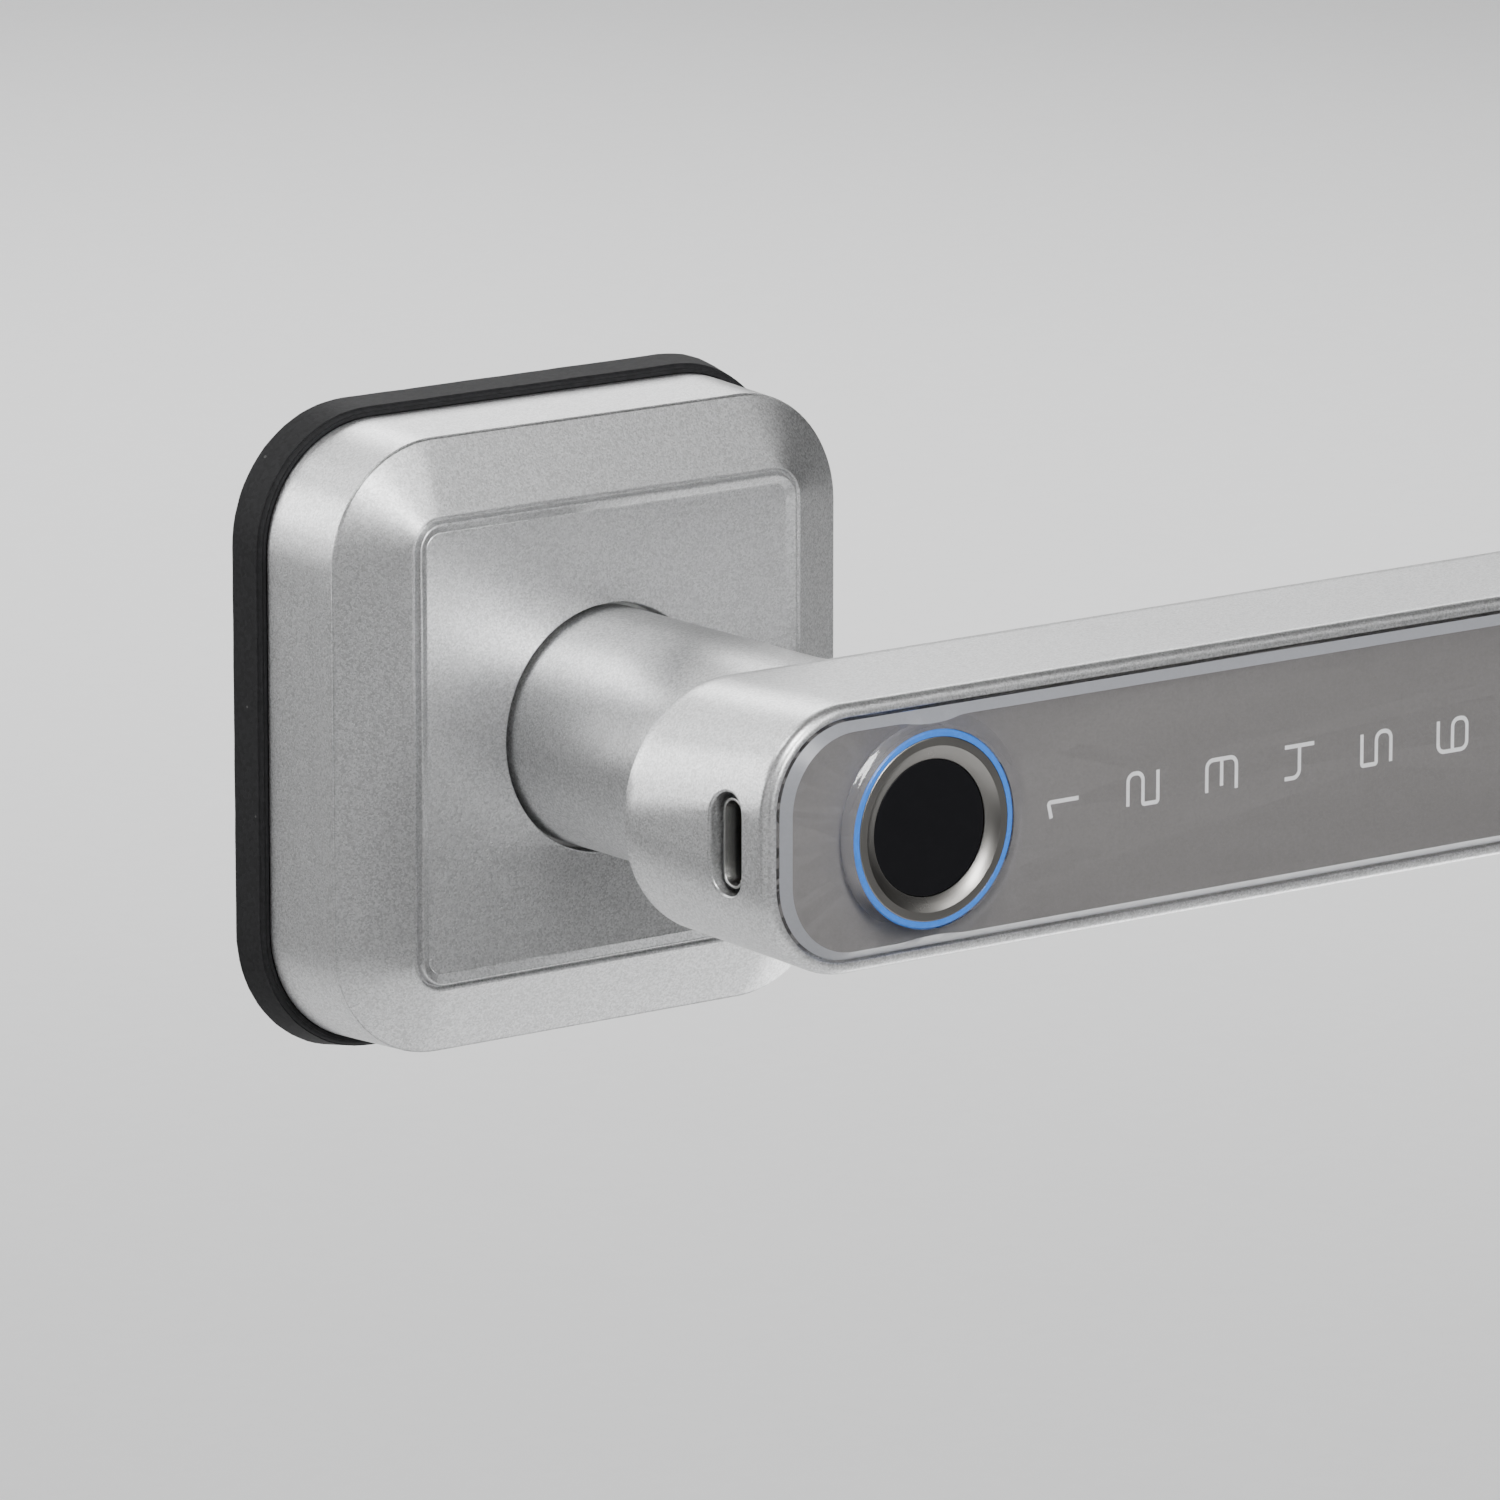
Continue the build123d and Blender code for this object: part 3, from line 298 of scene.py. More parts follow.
# ================================================================ shared surface effects
def new_group(name, inputs, outputs):
    """An empty shader node group with its sockets, its input node and its output node."""
    group = bpy.data.node_groups.new(name, "ShaderNodeTree")
    for label, value in inputs:
        socket = group.interface.new_socket(label, in_out="INPUT", socket_type="NodeSocketFloat")
        socket.default_value = value
    for label in outputs:
        group.interface.new_socket(label, in_out="OUTPUT", socket_type="NodeSocketFloat")
    return group, group.nodes.new("NodeGroupInput"), group.nodes.new("NodeGroupOutput")


def math_node(tree, operation, first, second):
    """The output of a calculation on two numbers or sockets."""
    node = tree.nodes.new("ShaderNodeMath")
    node.operation = operation
    for socket, value in zip(node.inputs, (first, second)):
        if isinstance(value, (int, float)):
            socket.default_value = value
        else:
            tree.links.new(value, socket)
    return node.outputs[0]


def object_coordinates(tree):
    return tree.nodes.new("ShaderNodeTexCoord").outputs["Object"]


def make_flake_group():
    """Metal flakes in paint: a shade for each flake and the height of its face."""
    group, source, sink = new_group("flakes", [("Scale", 5000.0), ("Softness", 0.5)],
                                    ["Shade", "Height"])
    where = object_coordinates(group)
    cells = group.nodes.new("ShaderNodeTexVoronoi")
    cells.feature = "F1"
    group.links.new(where, cells.inputs["Vector"])
    group.links.new(source.outputs["Scale"], cells.inputs["Scale"])
    shade = group.nodes.new("ShaderNodeSeparateColor")
    group.links.new(cells.outputs["Color"], shade.inputs[0])
    fine = group.nodes.new("ShaderNodeTexNoise")
    fine.inputs["Detail"].default_value = 2.0
    group.links.new(where, fine.inputs["Vector"])
    group.links.new(math_node(group, "MULTIPLY", source.outputs["Scale"], 0.45),
                    fine.inputs["Scale"])
    soft = math_node(group, "MULTIPLY", fine.outputs[0], source.outputs["Softness"])
    mixed = math_node(group, "ADD", shade.outputs[0], soft)
    group.links.new(math_node(group, "MULTIPLY", mixed, 0.67), sink.inputs["Shade"])
    group.links.new(mixed, sink.inputs["Height"])
    return group


def make_handling_group():
    """Slow changes in gloss, as handling leaves, and a few fine dust specks."""
    group, source, sink = new_group("handling", [("Scale", 60.0), ("Speck Scale", 900.0)],
                                    ["Smudge", "Specks"])
    where = object_coordinates(group)
    slow = group.nodes.new("ShaderNodeTexNoise")
    slow.inputs["Detail"].default_value = 5.0
    slow.inputs["Roughness"].default_value = 0.62
    group.links.new(where, slow.inputs["Vector"])
    group.links.new(source.outputs["Scale"], slow.inputs["Scale"])
    group.links.new(slow.outputs[0], sink.inputs["Smudge"])
    specks = group.nodes.new("ShaderNodeTexVoronoi")
    group.links.new(where, specks.inputs["Vector"])
    group.links.new(source.outputs["Speck Scale"], specks.inputs["Scale"])
    chosen = group.nodes.new("ShaderNodeSeparateColor")
    group.links.new(specks.outputs["Color"], chosen.inputs[0])
    small = math_node(group, "LESS_THAN", specks.outputs["Distance"], 0.16)
    rare = math_node(group, "GREATER_THAN", chosen.outputs[1], 0.975)
    group.links.new(math_node(group, "MULTIPLY", small, rare), sink.inputs["Specks"])
    return group


def make_turning_and_sheen_group():
    """Fine rings that a lathe leaves round an axis along Y, and painted highlight sectors round the
    same axis.
    """
    group, source, sink = new_group("turning_and_sheen", [("Centre X", 0.0), ("Scale", 4000.0)],
                                    ["Rings", "Painted Sheen"])
    where = group.nodes.new("ShaderNodeSeparateXYZ")
    group.links.new(object_coordinates(group), where.inputs[0])
    across = math_node(group, "SUBTRACT", where.outputs["X"], source.outputs["Centre X"])
    distance = group.nodes.new("ShaderNodeVectorMath")
    distance.operation = "LENGTH"
    flat = group.nodes.new("ShaderNodeCombineXYZ")
    group.links.new(across, flat.inputs["X"])
    group.links.new(where.outputs["Z"], flat.inputs["Z"])
    group.links.new(flat.outputs[0], distance.inputs[0])
    angle = math_node(group, "ARCTAN2", where.outputs["Z"], across)
    sheet = group.nodes.new("ShaderNodeCombineXYZ")
    group.links.new(distance.outputs["Value"], sheet.inputs["X"])
    group.links.new(math_node(group, "MULTIPLY", angle, 0.00004), sheet.inputs["Y"])
    rings = group.nodes.new("ShaderNodeTexNoise")
    rings.inputs["Detail"].default_value = 3.0
    group.links.new(sheet.outputs[0], rings.inputs["Vector"])
    group.links.new(source.outputs["Scale"], rings.inputs["Scale"])
    group.links.new(rings.outputs[0], sink.inputs["Rings"])
    # Painted highlight: lighter and darker sectors round the axis, standing in for the shine on a
    # turned face.
    painted_sheen = math_node(group, "SINE", math_node(group, "MULTIPLY", angle, 5.0), 0.0)
    group.links.new(math_node(group, "MULTIPLY", painted_sheen, 0.5), sink.inputs["Painted Sheen"])
    return group


FLAKES = make_flake_group()
HANDLING = make_handling_group()
TURNING_AND_SHEEN = make_turning_and_sheen_group()


def add_group(tree, group, **values):
    """A node group placed in a material, with its inputs set by name."""
    node = tree.nodes.new("ShaderNodeGroup")
    node.node_tree = group
    for name, value in values.items():
        node.inputs[name.replace("_", " ")].default_value = value
    return node


def spread(tree, value, low, high):
    """Maps a mask of 0 to 1 onto a range."""
    node = tree.nodes.new("ShaderNodeMapRange")
    node.inputs["To Min"].default_value = low
    node.inputs["To Max"].default_value = high
    tree.links.new(value, node.inputs["Value"])
    return node.outputs["Result"]


def mix_colours(tree, mask, first, second):
    """Blends from the first colour to the second by a mask."""
    node = tree.nodes.new("ShaderNodeMix")
    node.data_type = "RGBA"
    for socket, colour in ((node.inputs[6], first), (node.inputs[7], second)):
        if isinstance(colour, tuple):
            socket.default_value = (*colour, 1.0)
        else:
            tree.links.new(colour, socket)
    tree.links.new(mask, node.inputs[0])
    return node.outputs[2]


def shade_of(colour, factor):
    """A lighter or darker shade of a colour."""
    return tuple(min(value * factor, 1.0) for value in colour)


def make_finish(name, colour, rough, metal=0.0, grain=5000.0, contrast=0.1, bump=0.1,
                bump_height=0.00002, smudge=0.04, specks=0.0, turning_and_sheen=None, **sockets):
    """A finish with grain, slow changes in gloss and, where given, lathe rings with painted highlight
    sectors, or dust specks.
    """
    material = bpy.data.materials.new(name)
    material.use_nodes = True
    tree = material.node_tree
    shader = tree.nodes["Principled BSDF"]
    flakes = add_group(tree, FLAKES, Scale=grain)
    handling = add_group(tree, HANDLING)
    base = mix_colours(tree, flakes.outputs["Shade"], shade_of(colour, 1 - contrast),
                       shade_of(colour, 1 + contrast))
    height = flakes.outputs["Height"]
    if turning_and_sheen is not None:
        lathe_rings_and_sheen = add_group(tree, TURNING_AND_SHEEN, Centre_X=turning_and_sheen)
        # Painted highlight: the base colour swings between darker and lighter copies of itself in
        # sectors round the axis; the lathe's rings go to the bump.
        base = mix_colours(tree, spread(tree, lathe_rings_and_sheen.outputs["Painted Sheen"], 0.35, 0.65),
                           shade_of(colour, 0.8), shade_of(colour, 1.25))
        height = lathe_rings_and_sheen.outputs["Rings"]
    if specks:
        base = mix_colours(tree, math_node(tree, "MULTIPLY", handling.outputs["Specks"], specks),
                           base, (0.5, 0.5, 0.48))
    tree.links.new(base, shader.inputs["Base Color"])
    tree.links.new(spread(tree, handling.outputs["Smudge"], rough - smudge, rough + smudge),
                   shader.inputs["Roughness"])
    relief = tree.nodes.new("ShaderNodeBump")
    relief.inputs["Strength"].default_value = bump
    relief.inputs["Distance"].default_value = bump_height
    tree.links.new(height, relief.inputs["Height"])
    tree.links.new(relief.outputs["Normal"], shader.inputs["Normal"])
    shader.inputs["Metallic"].default_value = metal
    for socket, value in sockets.items():
        shader.inputs[socket.replace("_", " ")].default_value = value
    return material


def clear_to_light(material, tint):
    """Lets light rays straight through a clear piece, so what lies under it is lit."""
    tree = material.node_tree
    shader = tree.nodes["Principled BSDF"]
    out = tree.nodes["Material Output"]
    path = tree.nodes.new("ShaderNodeLightPath")
    clear = tree.nodes.new("ShaderNodeBsdfTransparent")
    clear.inputs["Color"].default_value = (*tint, 1.0)
    mixer = tree.nodes.new("ShaderNodeMixShader")
    indirect = math_node(tree, "MAXIMUM", path.outputs["Is Shadow Ray"],
                         path.outputs["Is Diffuse Ray"])
    tree.links.new(indirect, mixer.inputs["Fac"])
    tree.links.new(shader.outputs["BSDF"], mixer.inputs[1])
    tree.links.new(clear.outputs["BSDF"], mixer.inputs[2])
    tree.links.new(mixer.outputs["Shader"], out.inputs["Surface"])


MATERIALS = {
    "silver_paint": make_finish("silver_paint", (0.60, 0.603, 0.607), 0.32, metal=0.9, grain=6000.0,
                                contrast=0.34, bump=0.55, bump_height=0.00003, smudge=0.02),
    "gasket_rubber": make_finish("gasket_rubber", (0.012, 0.012, 0.013), 0.72, grain=2600.0,
                                 contrast=0.35, bump=0.5, bump_height=0.00005, specks=0.1,
                                 Specular_IOR_Level=0.25),
    "zinc_casting": make_finish("zinc_casting", (0.42, 0.43, 0.44), 0.48, metal=0.85, grain=1800.0,
                                contrast=0.14, bump=0.4, bump_height=0.00005, smudge=0.08),
    "zinc_plated_steel": make_finish("zinc_plated_steel", (0.56, 0.57, 0.56), 0.3, metal=1.0,
                                     grain=2500.0, contrast=0.06, smudge=0.1),
    "bearing_nylon": make_finish("bearing_nylon", (0.74, 0.73, 0.68), 0.5, grain=2200.0,
                                 contrast=0.04, Subsurface_Weight=0.15),
    "spring_steel": make_finish("spring_steel", (0.30, 0.30, 0.31), 0.32, metal=1.0, grain=3000.0,
                                contrast=0.15, smudge=0.12),
    "lens_acrylic": make_finish("lens_acrylic", (0.97, 0.97, 0.97), 0.07, grain=900.0,
                                contrast=0.01, bump=0.0, smudge=0.02, Transmission_Weight=1.0,
                                IOR=1.49),
    "lens_bevel": make_finish("lens_bevel", (0.34, 0.35, 0.38), 0.3, grain=4000.0, contrast=0.05,
                              bump=0.1, Transmission_Weight=0.3, IOR=1.49),
    "mask_film": make_finish("mask_film", (0.172, 0.166, 0.164), 0.45, grain=5000.0, contrast=0.1),
    "digit_diffuser": make_finish("digit_diffuser", (0.78, 0.79, 0.80), 0.5, grain=4000.0,
                                  contrast=0.03),
    "circuit_board": make_finish("circuit_board", (0.015, 0.11, 0.05), 0.35, grain=1400.0,
                                 contrast=0.3, Coat_Weight=0.4),
    "light_guide_acrylic": make_finish("light_guide_acrylic", (0.86, 0.88, 0.89), 0.15, grain=900.0,
                                       contrast=0.02, Transmission_Weight=0.7, IOR=1.49),
    "led_package": make_finish("led_package", (0.85, 0.80, 0.55), 0.4, grain=3500.0, contrast=0.08),
    "chip_epoxy": make_finish("chip_epoxy", (0.025, 0.025, 0.028), 0.55, grain=5000.0, contrast=0.3),
    "tray_plastic": make_finish("tray_plastic", (0.05, 0.05, 0.055), 0.5, grain=2800.0, contrast=0.2,
                                bump=0.3),
    "cell_wrap": make_finish("cell_wrap", (0.60, 0.62, 0.64), 0.3, metal=0.8, grain=700.0,
                             contrast=0.08, bump=0.4, bump_height=0.0001, smudge=0.1),
    "sensor_glass": make_finish("sensor_glass", (0.006, 0.006, 0.007), 0.3, grain=900.0,
                                contrast=0.05, bump=0.02, smudge=0.05, Specular_IOR_Level=0.12),
    "bezel_steel": make_finish("bezel_steel", (0.31, 0.30, 0.285), 0.28, metal=1.0,
                               turning_and_sheen=SENSOR_X * MM, bump=0.25, smudge=0.05),
    "blue_light_ring": make_finish("blue_light_ring", (0.03, 0.15, 0.52), 0.22, grain=2500.0,
                                   contrast=0.1, bump=0.03),
    "port_steel": make_finish("port_steel", (0.55, 0.55, 0.54), 0.28, metal=1.0, grain=3500.0,
                              contrast=0.07, smudge=0.1),
    "port_plastic": make_finish("port_plastic", (0.02, 0.02, 0.022), 0.5, grain=3500.0, contrast=0.2),
    "contact_gold": make_finish("contact_gold", (0.78, 0.58, 0.24), 0.25, metal=1.0, grain=3500.0,
                                contrast=0.06),
    "spindle_steel": make_finish("spindle_steel", (0.40, 0.40, 0.41), 0.36, metal=1.0, grain=1500.0,
                                 contrast=0.15, smudge=0.1),
}
ring_shader = MATERIALS["blue_light_ring"].node_tree.nodes["Principled BSDF"]
ring_shader.inputs["Emission Color"].default_value = (0.03, 0.2, 0.8, 1.0)
ring_shader.inputs["Emission Strength"].default_value = 0.2
clear_to_light(MATERIALS["lens_acrylic"], (0.95, 0.945, 0.945))
clear_to_light(MATERIALS["lens_bevel"], (0.82, 0.82, 0.83))
clear_to_light(MATERIALS["light_guide_acrylic"], (0.9, 0.9, 0.9))

for part in frame["record"]["subparts"]:
    node = frame["nodes"][part["node"]]
    node.data.materials.clear()
    node.data.materials.append(MATERIALS[part["material_slot"]])


def place(piece, body, slot, *nodes):
    """The piece rides on a body and stands for CAD nodes, which it hides; slot is not used."""
    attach(piece, body)
    if nodes:
        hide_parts(*nodes)


# ================================================================ rose
SIDE = [step / 16 for step in range(16)]


def corner_at(pair, depth, rounding=0.0):
    """A corner of a profile for rounded(): half side, depth, corner radius and rounding."""
    return (pair[0], depth, pair[1], rounding)


def make_gasket():
    profile = rounded([corner_at(GASKET_SEAT, 0.0), corner_at(GASKET_BACK, 0.0, 0.35),
                       corner_at(GASKET_FRONT, GASKET_DEPTH, 0.5),
                       corner_at(GASKET_SEAT, GASKET_DEPTH),
                       corner_at(GASKET_SEAT, COVER_FOOT_DEPTH)], steps=5)
    ragged = 0.0007     # how far the trimmed edge wanders, as a share of its size
    mesh_data = bmesh.new()
    loops = []
    for half, depth, corner in profile:
        points = outline(square(half, corner), SIDE, end_steps=16)
        if depth < COVER_FOOT_DEPTH and half > GASKET_SEAT[0] + 0.1:
            points = [(x * (1 + ragged * math.sin(i * 2.7) * math.sin(i * 7.3 + depth * 3)),
                       z * (1 + ragged * math.sin(i * 3.9 + 1) * math.cos(i * 5.1)))
                      for i, (x, z) in enumerate(points)]
        loops.append([(x, max(depth, 0.0), z) for x, z in points])
    hole = circle_facing(outline(square(*GASKET_SEAT), SIDE, end_steps=16), GASKET_HOLE_RADIUS)
    loops += [at_depth(hole, COVER_FOOT_DEPTH), at_depth(hole, 0.0)]
    ring_of_loops(mesh_data, loops)
    gasket = finish_mesh("gasket_visual", mesh_data, MATERIALS["gasket_rubber"])
    for z in (POST_Z, -POST_Z):
        cut(gasket, round_tool(POST_HOLE_RADIUS, -1.0, GASKET_DEPTH + 0.8, z))
    place(gasket, "door_side", "gasket_rubber", "door_gasket")


def make_cover():
    outside = [corner_at(COVER_BACK, COVER_FOOT_DEPTH, 0.3),
               corner_at(COVER_SHOULDER, SHOULDER_DEPTH, 0.35),
               corner_at(COVER_PANEL, BEVEL_DEPTH, 0.16)]
    for inward, depth, rounding in BAND:
        outside.append((COVER_PANEL[0] - inward, depth, COVER_PANEL[1] - inward, rounding))
    start = (20.0, 1.5)     # a square on the panel, from which the loops turn round
    inside = [corner_at(start, PANEL_BACK_DEPTH), corner_at((23.0, 3.2), PANEL_BACK_DEPTH),
              corner_at((29.5, 10.5), 13.9), corner_at((30.0, 10.8), COVER_FOOT_DEPTH)]
    path = rounded(outside + [corner_at(start, PANEL_DEPTH)] + inside, steps=6)
    turn = next(i for i, point in enumerate(path) if point[0] == start[0])
    loops = [at_depth(outline(square(half, corner), SIDE, end_steps=16), depth)
             for half, depth, corner in path]
    facing = outline(square(*start), SIDE, end_steps=16)
    # The hole's edge, as (distance out from the hole, distance back from the panel).
    hole = [at_depth(circle_facing(facing, COVER_HOLE_RADIUS + out), PANEL_DEPTH - back)
            for out, back in ((0.22, 0.0), (0.15, 0.01), (0.07, 0.06), (0.02, 0.15), (0.0, 0.25),
                              (0.0, PANEL_DEPTH - PANEL_BACK_DEPTH))]
    mesh_data = bmesh.new()
    ring_of_loops(mesh_data, loops[:turn + 1] + hole + loops[turn + 1:])
    cover = finish_mesh("cover_visual", mesh_data, MATERIALS["silver_paint"])
    tool = bmesh.new()
    steps = 40
    rows = [[(COVER_SCREW_RADIUS * math.cos(2 * math.pi * i / steps),
              COVER_SCREW_DEPTH + COVER_SCREW_RADIUS * math.sin(2 * math.pi * i / steps), z)
             for i in range(steps)] for z in (-33.0, -29.0)]
    ring_of_loops(tool, rows, closed=False)
    cut(cover, finish_mesh("tool", tool, MATERIALS["silver_paint"]))
    place(cover, "door_side", "silver_paint", "rosette_cover")


# ================================================================ lever
def lever_sizes(depth):
    """The lever's outline at a depth; its sides lean a little."""
    share = (depth - LEVER_DEPTHS[0]) / (LEVER_DEPTHS[1] - LEVER_DEPTHS[0])
    return blend_sizes(LEVER_BACK, LEVER_FRONT, share)


def long_shares(sizes, x, steps=44):
    """Places along the long side at even angles round the neck's axis."""
    left, right, half, corner = (sizes[key] for key in ("left", "right", "half", "corner"))
    length = right + left - 2 * corner
    start = math.atan2(half, right - corner - x)
    stop = math.atan2(half, -left + corner - x)
    shares = []
    for step in range(steps):
        angle = start + (stop - start) * step / steps
        shares.append((right - corner - x - half / math.tan(angle)) / length)
    return [max(share, 0.0) for share in shares]


LONG = long_shares(LEVER_BACK, 0.0)


def lever_end_x(depth, z):
    """Where the lever's left end lies at a depth and height."""
    sizes = lever_sizes(depth)
    past = max(abs(z) - (sizes["half"] - sizes["corner"]), 0.0)
    return -sizes["left"] + sizes["corner"] - math.sqrt(sizes["corner"] ** 2 - past ** 2)


def make_lever():
    back = outline(LEVER_BACK, LONG)
    seat, shoulder = FLANGE_DEPTHS
    loops = []
    # The neck's outside, from its free end to the flare that meets the lever.
    for radius, depth in ((JOURNAL_RADIUS - 0.4, -1.0), (JOURNAL_RADIUS, -0.6),
                          (JOURNAL_RADIUS, seat), (FLANGE_RADIUS, seat), (FLANGE_RADIUS, shoulder),
                          (NECK_RADIUS - 0.25, shoulder), (NECK_RADIUS, shoulder + 0.25),
                          (NECK_RADIUS, 30.0), (NECK_RADIUS, FLARE_DEPTH)):
        loops.append(at_depth(circle_facing(back, radius), depth))
    flare_steps = 10
    for step in range(1, flare_steps + 1):
        share = step / flare_steps
        loops.append(at_depth(circle_facing(back, NECK_RADIUS + FLARE_GROWTH * share ** 3),
                              FLARE_DEPTH + FLARE_LENGTH * share))
    # The back's edge, the sides and the rounded rim.
    loops.append(at_depth(outline(shrink(LEVER_BACK, 0.06), LONG), LEVER_DEPTHS[0]))
    for inset, depth in ((0.02, 52.74), (0.0, 52.8), (0.0, 54.0), (0.0, 60.0), (0.0, 66.0),
                         (0.0, 71.4)):
        loops.append(at_depth(outline(shrink(lever_sizes(depth), inset), LONG), depth))
    rim_steps = 10
    for step in range(rim_steps + 1):
        angle = math.pi / 2 * step / rim_steps
        depth = LEVER_DEPTHS[1] - RIM_ROUNDING + RIM_ROUNDING * math.sin(angle)
        inset = RIM_ROUNDING * (1 - math.cos(angle))
        loops.append(at_depth(outline(shrink(lever_sizes(depth), inset), LONG), depth))
    # The rim's inner edge, the ledge for the lens and the pocket.
    for inset, depth in ((RIM_WIDTH - 0.09, 72.69), (RIM_WIDTH - 0.02, 72.62), (RIM_WIDTH, 72.5),
                         (RIM_WIDTH, SEAT_DEPTH), (SEAT_WIDTH, SEAT_DEPTH),
                         (SEAT_WIDTH, POCKET_DEPTH)):
        loops.append(at_depth(outline(shrink(LEVER_FRONT, inset), LONG), depth))
    hub_bore, motor_bore = NECK_BORES
    for radius, depth in ((motor_bore, POCKET_DEPTH), (motor_bore, NECK_BORE_STEP),
                          (hub_bore, NECK_BORE_STEP), (hub_bore, -1.0)):
        loops.append(at_depth(circle_facing(back, radius), depth))
    mesh_data = bmesh.new()
    ring_of_loops(mesh_data, loops)
    lever = finish_mesh("lever_visual", mesh_data, MATERIALS["silver_paint"])

    tool = bmesh.new()
    outer = slot_points(PORT_SLOT[0] + 2 * PORT_LIP, PORT_SLOT[1] + 2 * PORT_LIP)
    ring_of_loops(tool, [[(x, PORT_DEPTH + d, z) for d, z in outer] for x in (-26.0, -18.0)],
                  closed=False)
    cut(lever, finish_mesh("tool", tool, MATERIALS["silver_paint"]))

    lip = bmesh.new()
    loops = []
    lip_steps = 6
    for step in range(lip_steps + 1):
        angle = math.pi / 2 * step / lip_steps
        grow, sink = PORT_LIP * (1 - math.sin(angle)), PORT_LIP * (1 - math.cos(angle))
        loops.append([(lever_end_x(PORT_DEPTH + d, z) + sink, PORT_DEPTH + d, z)
                      for d, z in slot_points(PORT_SLOT[0] + 2 * grow, PORT_SLOT[1] + 2 * grow)])
    for points in (slot_points(*PORT_SLOT), outer):
        loops.append([(PORT_LIP_END_X, PORT_DEPTH + d, z) for d, z in points])
    ring_of_loops(lip, loops)
    port_lip = finish_mesh("port_lip", lip, MATERIALS["silver_paint"], sharp=50)
    place(port_lip, "lever", "silver_paint")
    place(lever, "lever", "silver_paint", "lever_body")


# ================================================================ lens and sensor
def lens_inset(x, z):
    """How far a point lies inside the lens's outline."""
    middle = (LENS["right"] - LENS["left"]) / 2
    across = abs(x - middle) - ((LENS["right"] + LENS["left"]) / 2 - LENS["corner"])
    up = abs(z) - (LENS["half"] - LENS["corner"])
    return LENS["corner"] - math.hypot(max(across, 0), max(up, 0)) - min(max(across, up), 0)


def collar_rise(radius):
    """Height of the soft collar round the sensor."""
    share = min(max((radius - COLLAR_TOP_RADIUS) / COLLAR_WIDTH, 0.0), 1.0)
    return COLLAR_HEIGHT * (1 - share ** 3 * (10 - 15 * share + 6 * share ** 2))


def lens_crease(direction, far):
    """Distance from the sensor's centre at which the lens's bevel meets its front."""
    near = LENS_HOLE_RADIUS + 0.05
    for _ in range(40):
        middle = (near + far) / 2
        inset = lens_inset(SENSOR_X + middle * direction[0], middle * direction[1])
        if LENS_EDGE_DEPTH + inset > LENS_FRONT_DEPTH + collar_rise(middle):
            near = middle
        else:
            far = middle
    return near


def make_lens():
    edge = outline(LENS, long_shares(LENS, SENSOR_X))
    rays = []
    for x, z in edge:
        far = math.hypot(x - SENSOR_X, z)
        direction = ((x - SENSOR_X) / far, z / far)
        rays.append((direction, lens_crease(direction, far)))

    def front_loop(distance):
        """A loop on the front, where distance gives how far out it lies on each ray."""
        loop = []
        for direction, crease in rays:
            radius = distance(crease)
            loop.append((SENSOR_X + radius * direction[0], LENS_FRONT_DEPTH + collar_rise(radius),
                         radius * direction[1]))
        return loop

    def collar_foot(crease):
        """Where the loops start to climb the collar, never past the bevel."""
        return min(crease - 0.05, COLLAR_TOP_RADIUS + COLLAR_WIDTH + 0.1)

    loops = [at_depth(edge, LENS_BACK_DEPTH), at_depth(edge, LENS_EDGE_DEPTH),
             front_loop(lambda crease: crease)]
    for share in (0.02, 0.5, 1.0):
        loops.append(front_loop(lambda crease: crease + share * (collar_foot(crease) - crease)))
    rings = 24
    for step in range(1, rings + 1):
        loops.append(front_loop(lambda crease: collar_foot(crease) + step / rings
                                * (LENS_HOLE_RADIUS - collar_foot(crease))))
    hole = front_loop(lambda crease: LENS_HOLE_RADIUS)
    loops.append([(x, LENS_BACK_DEPTH, z) for x, _, z in hole])
    mesh_data = bmesh.new()
    rows = ring_of_loops(mesh_data, loops)
    bevel = set(rows[1]) | set(rows[2])
    for face in mesh_data.faces:
        if bevel.issuperset(face.verts):
            face.material_index = 1
    lens = finish_mesh("lens_visual", mesh_data, MATERIALS["lens_acrylic"], sharp=25)
    lens.data.materials.append(MATERIALS["lens_bevel"])
    place(lens, "lever", "lens_acrylic", "lens")


def make_sensor():
    back, front = DISC_DEPTHS
    axis = 0.02         # a pinhole at the centre keeps the spun mesh closed
    disc = turned("sensor_disc_visual",
                  rounded([(axis, back, 0.0), (DISC_RADIUS, back, 0.0), (DISC_RADIUS, front, 0.12),
                           (axis, front, 0.0)]), MATERIALS["sensor_glass"])
    place(disc, "lever", "sensor_glass", "sensor_disc")
    inside, foot, top, outside = BEZEL_RADII
    back, cone, front = BEZEL_DEPTHS
    bezel = turned("bezel_visual",
                   rounded([(inside, back, 0.0), (outside, back, 0.0), (outside, front, 0.12),
                            (top, front, 0.1), (foot, cone, 0.0), (inside, cone, 0.0)]),
                   MATERIALS["bezel_steel"])
    place(bezel, "lever", "bezel_steel", "sensor_bezel")
    ring = turned("light_ring_visual",
                  rounded([(outside, back, 0.0), (RING_RADIUS, back, 0.0), (RING_RADIUS, front, 0.3),
                           (outside, front - 0.05, 0.05)]), MATERIALS["blue_light_ring"])
    place(ring, "lever", "blue_light_ring", "light_ring")


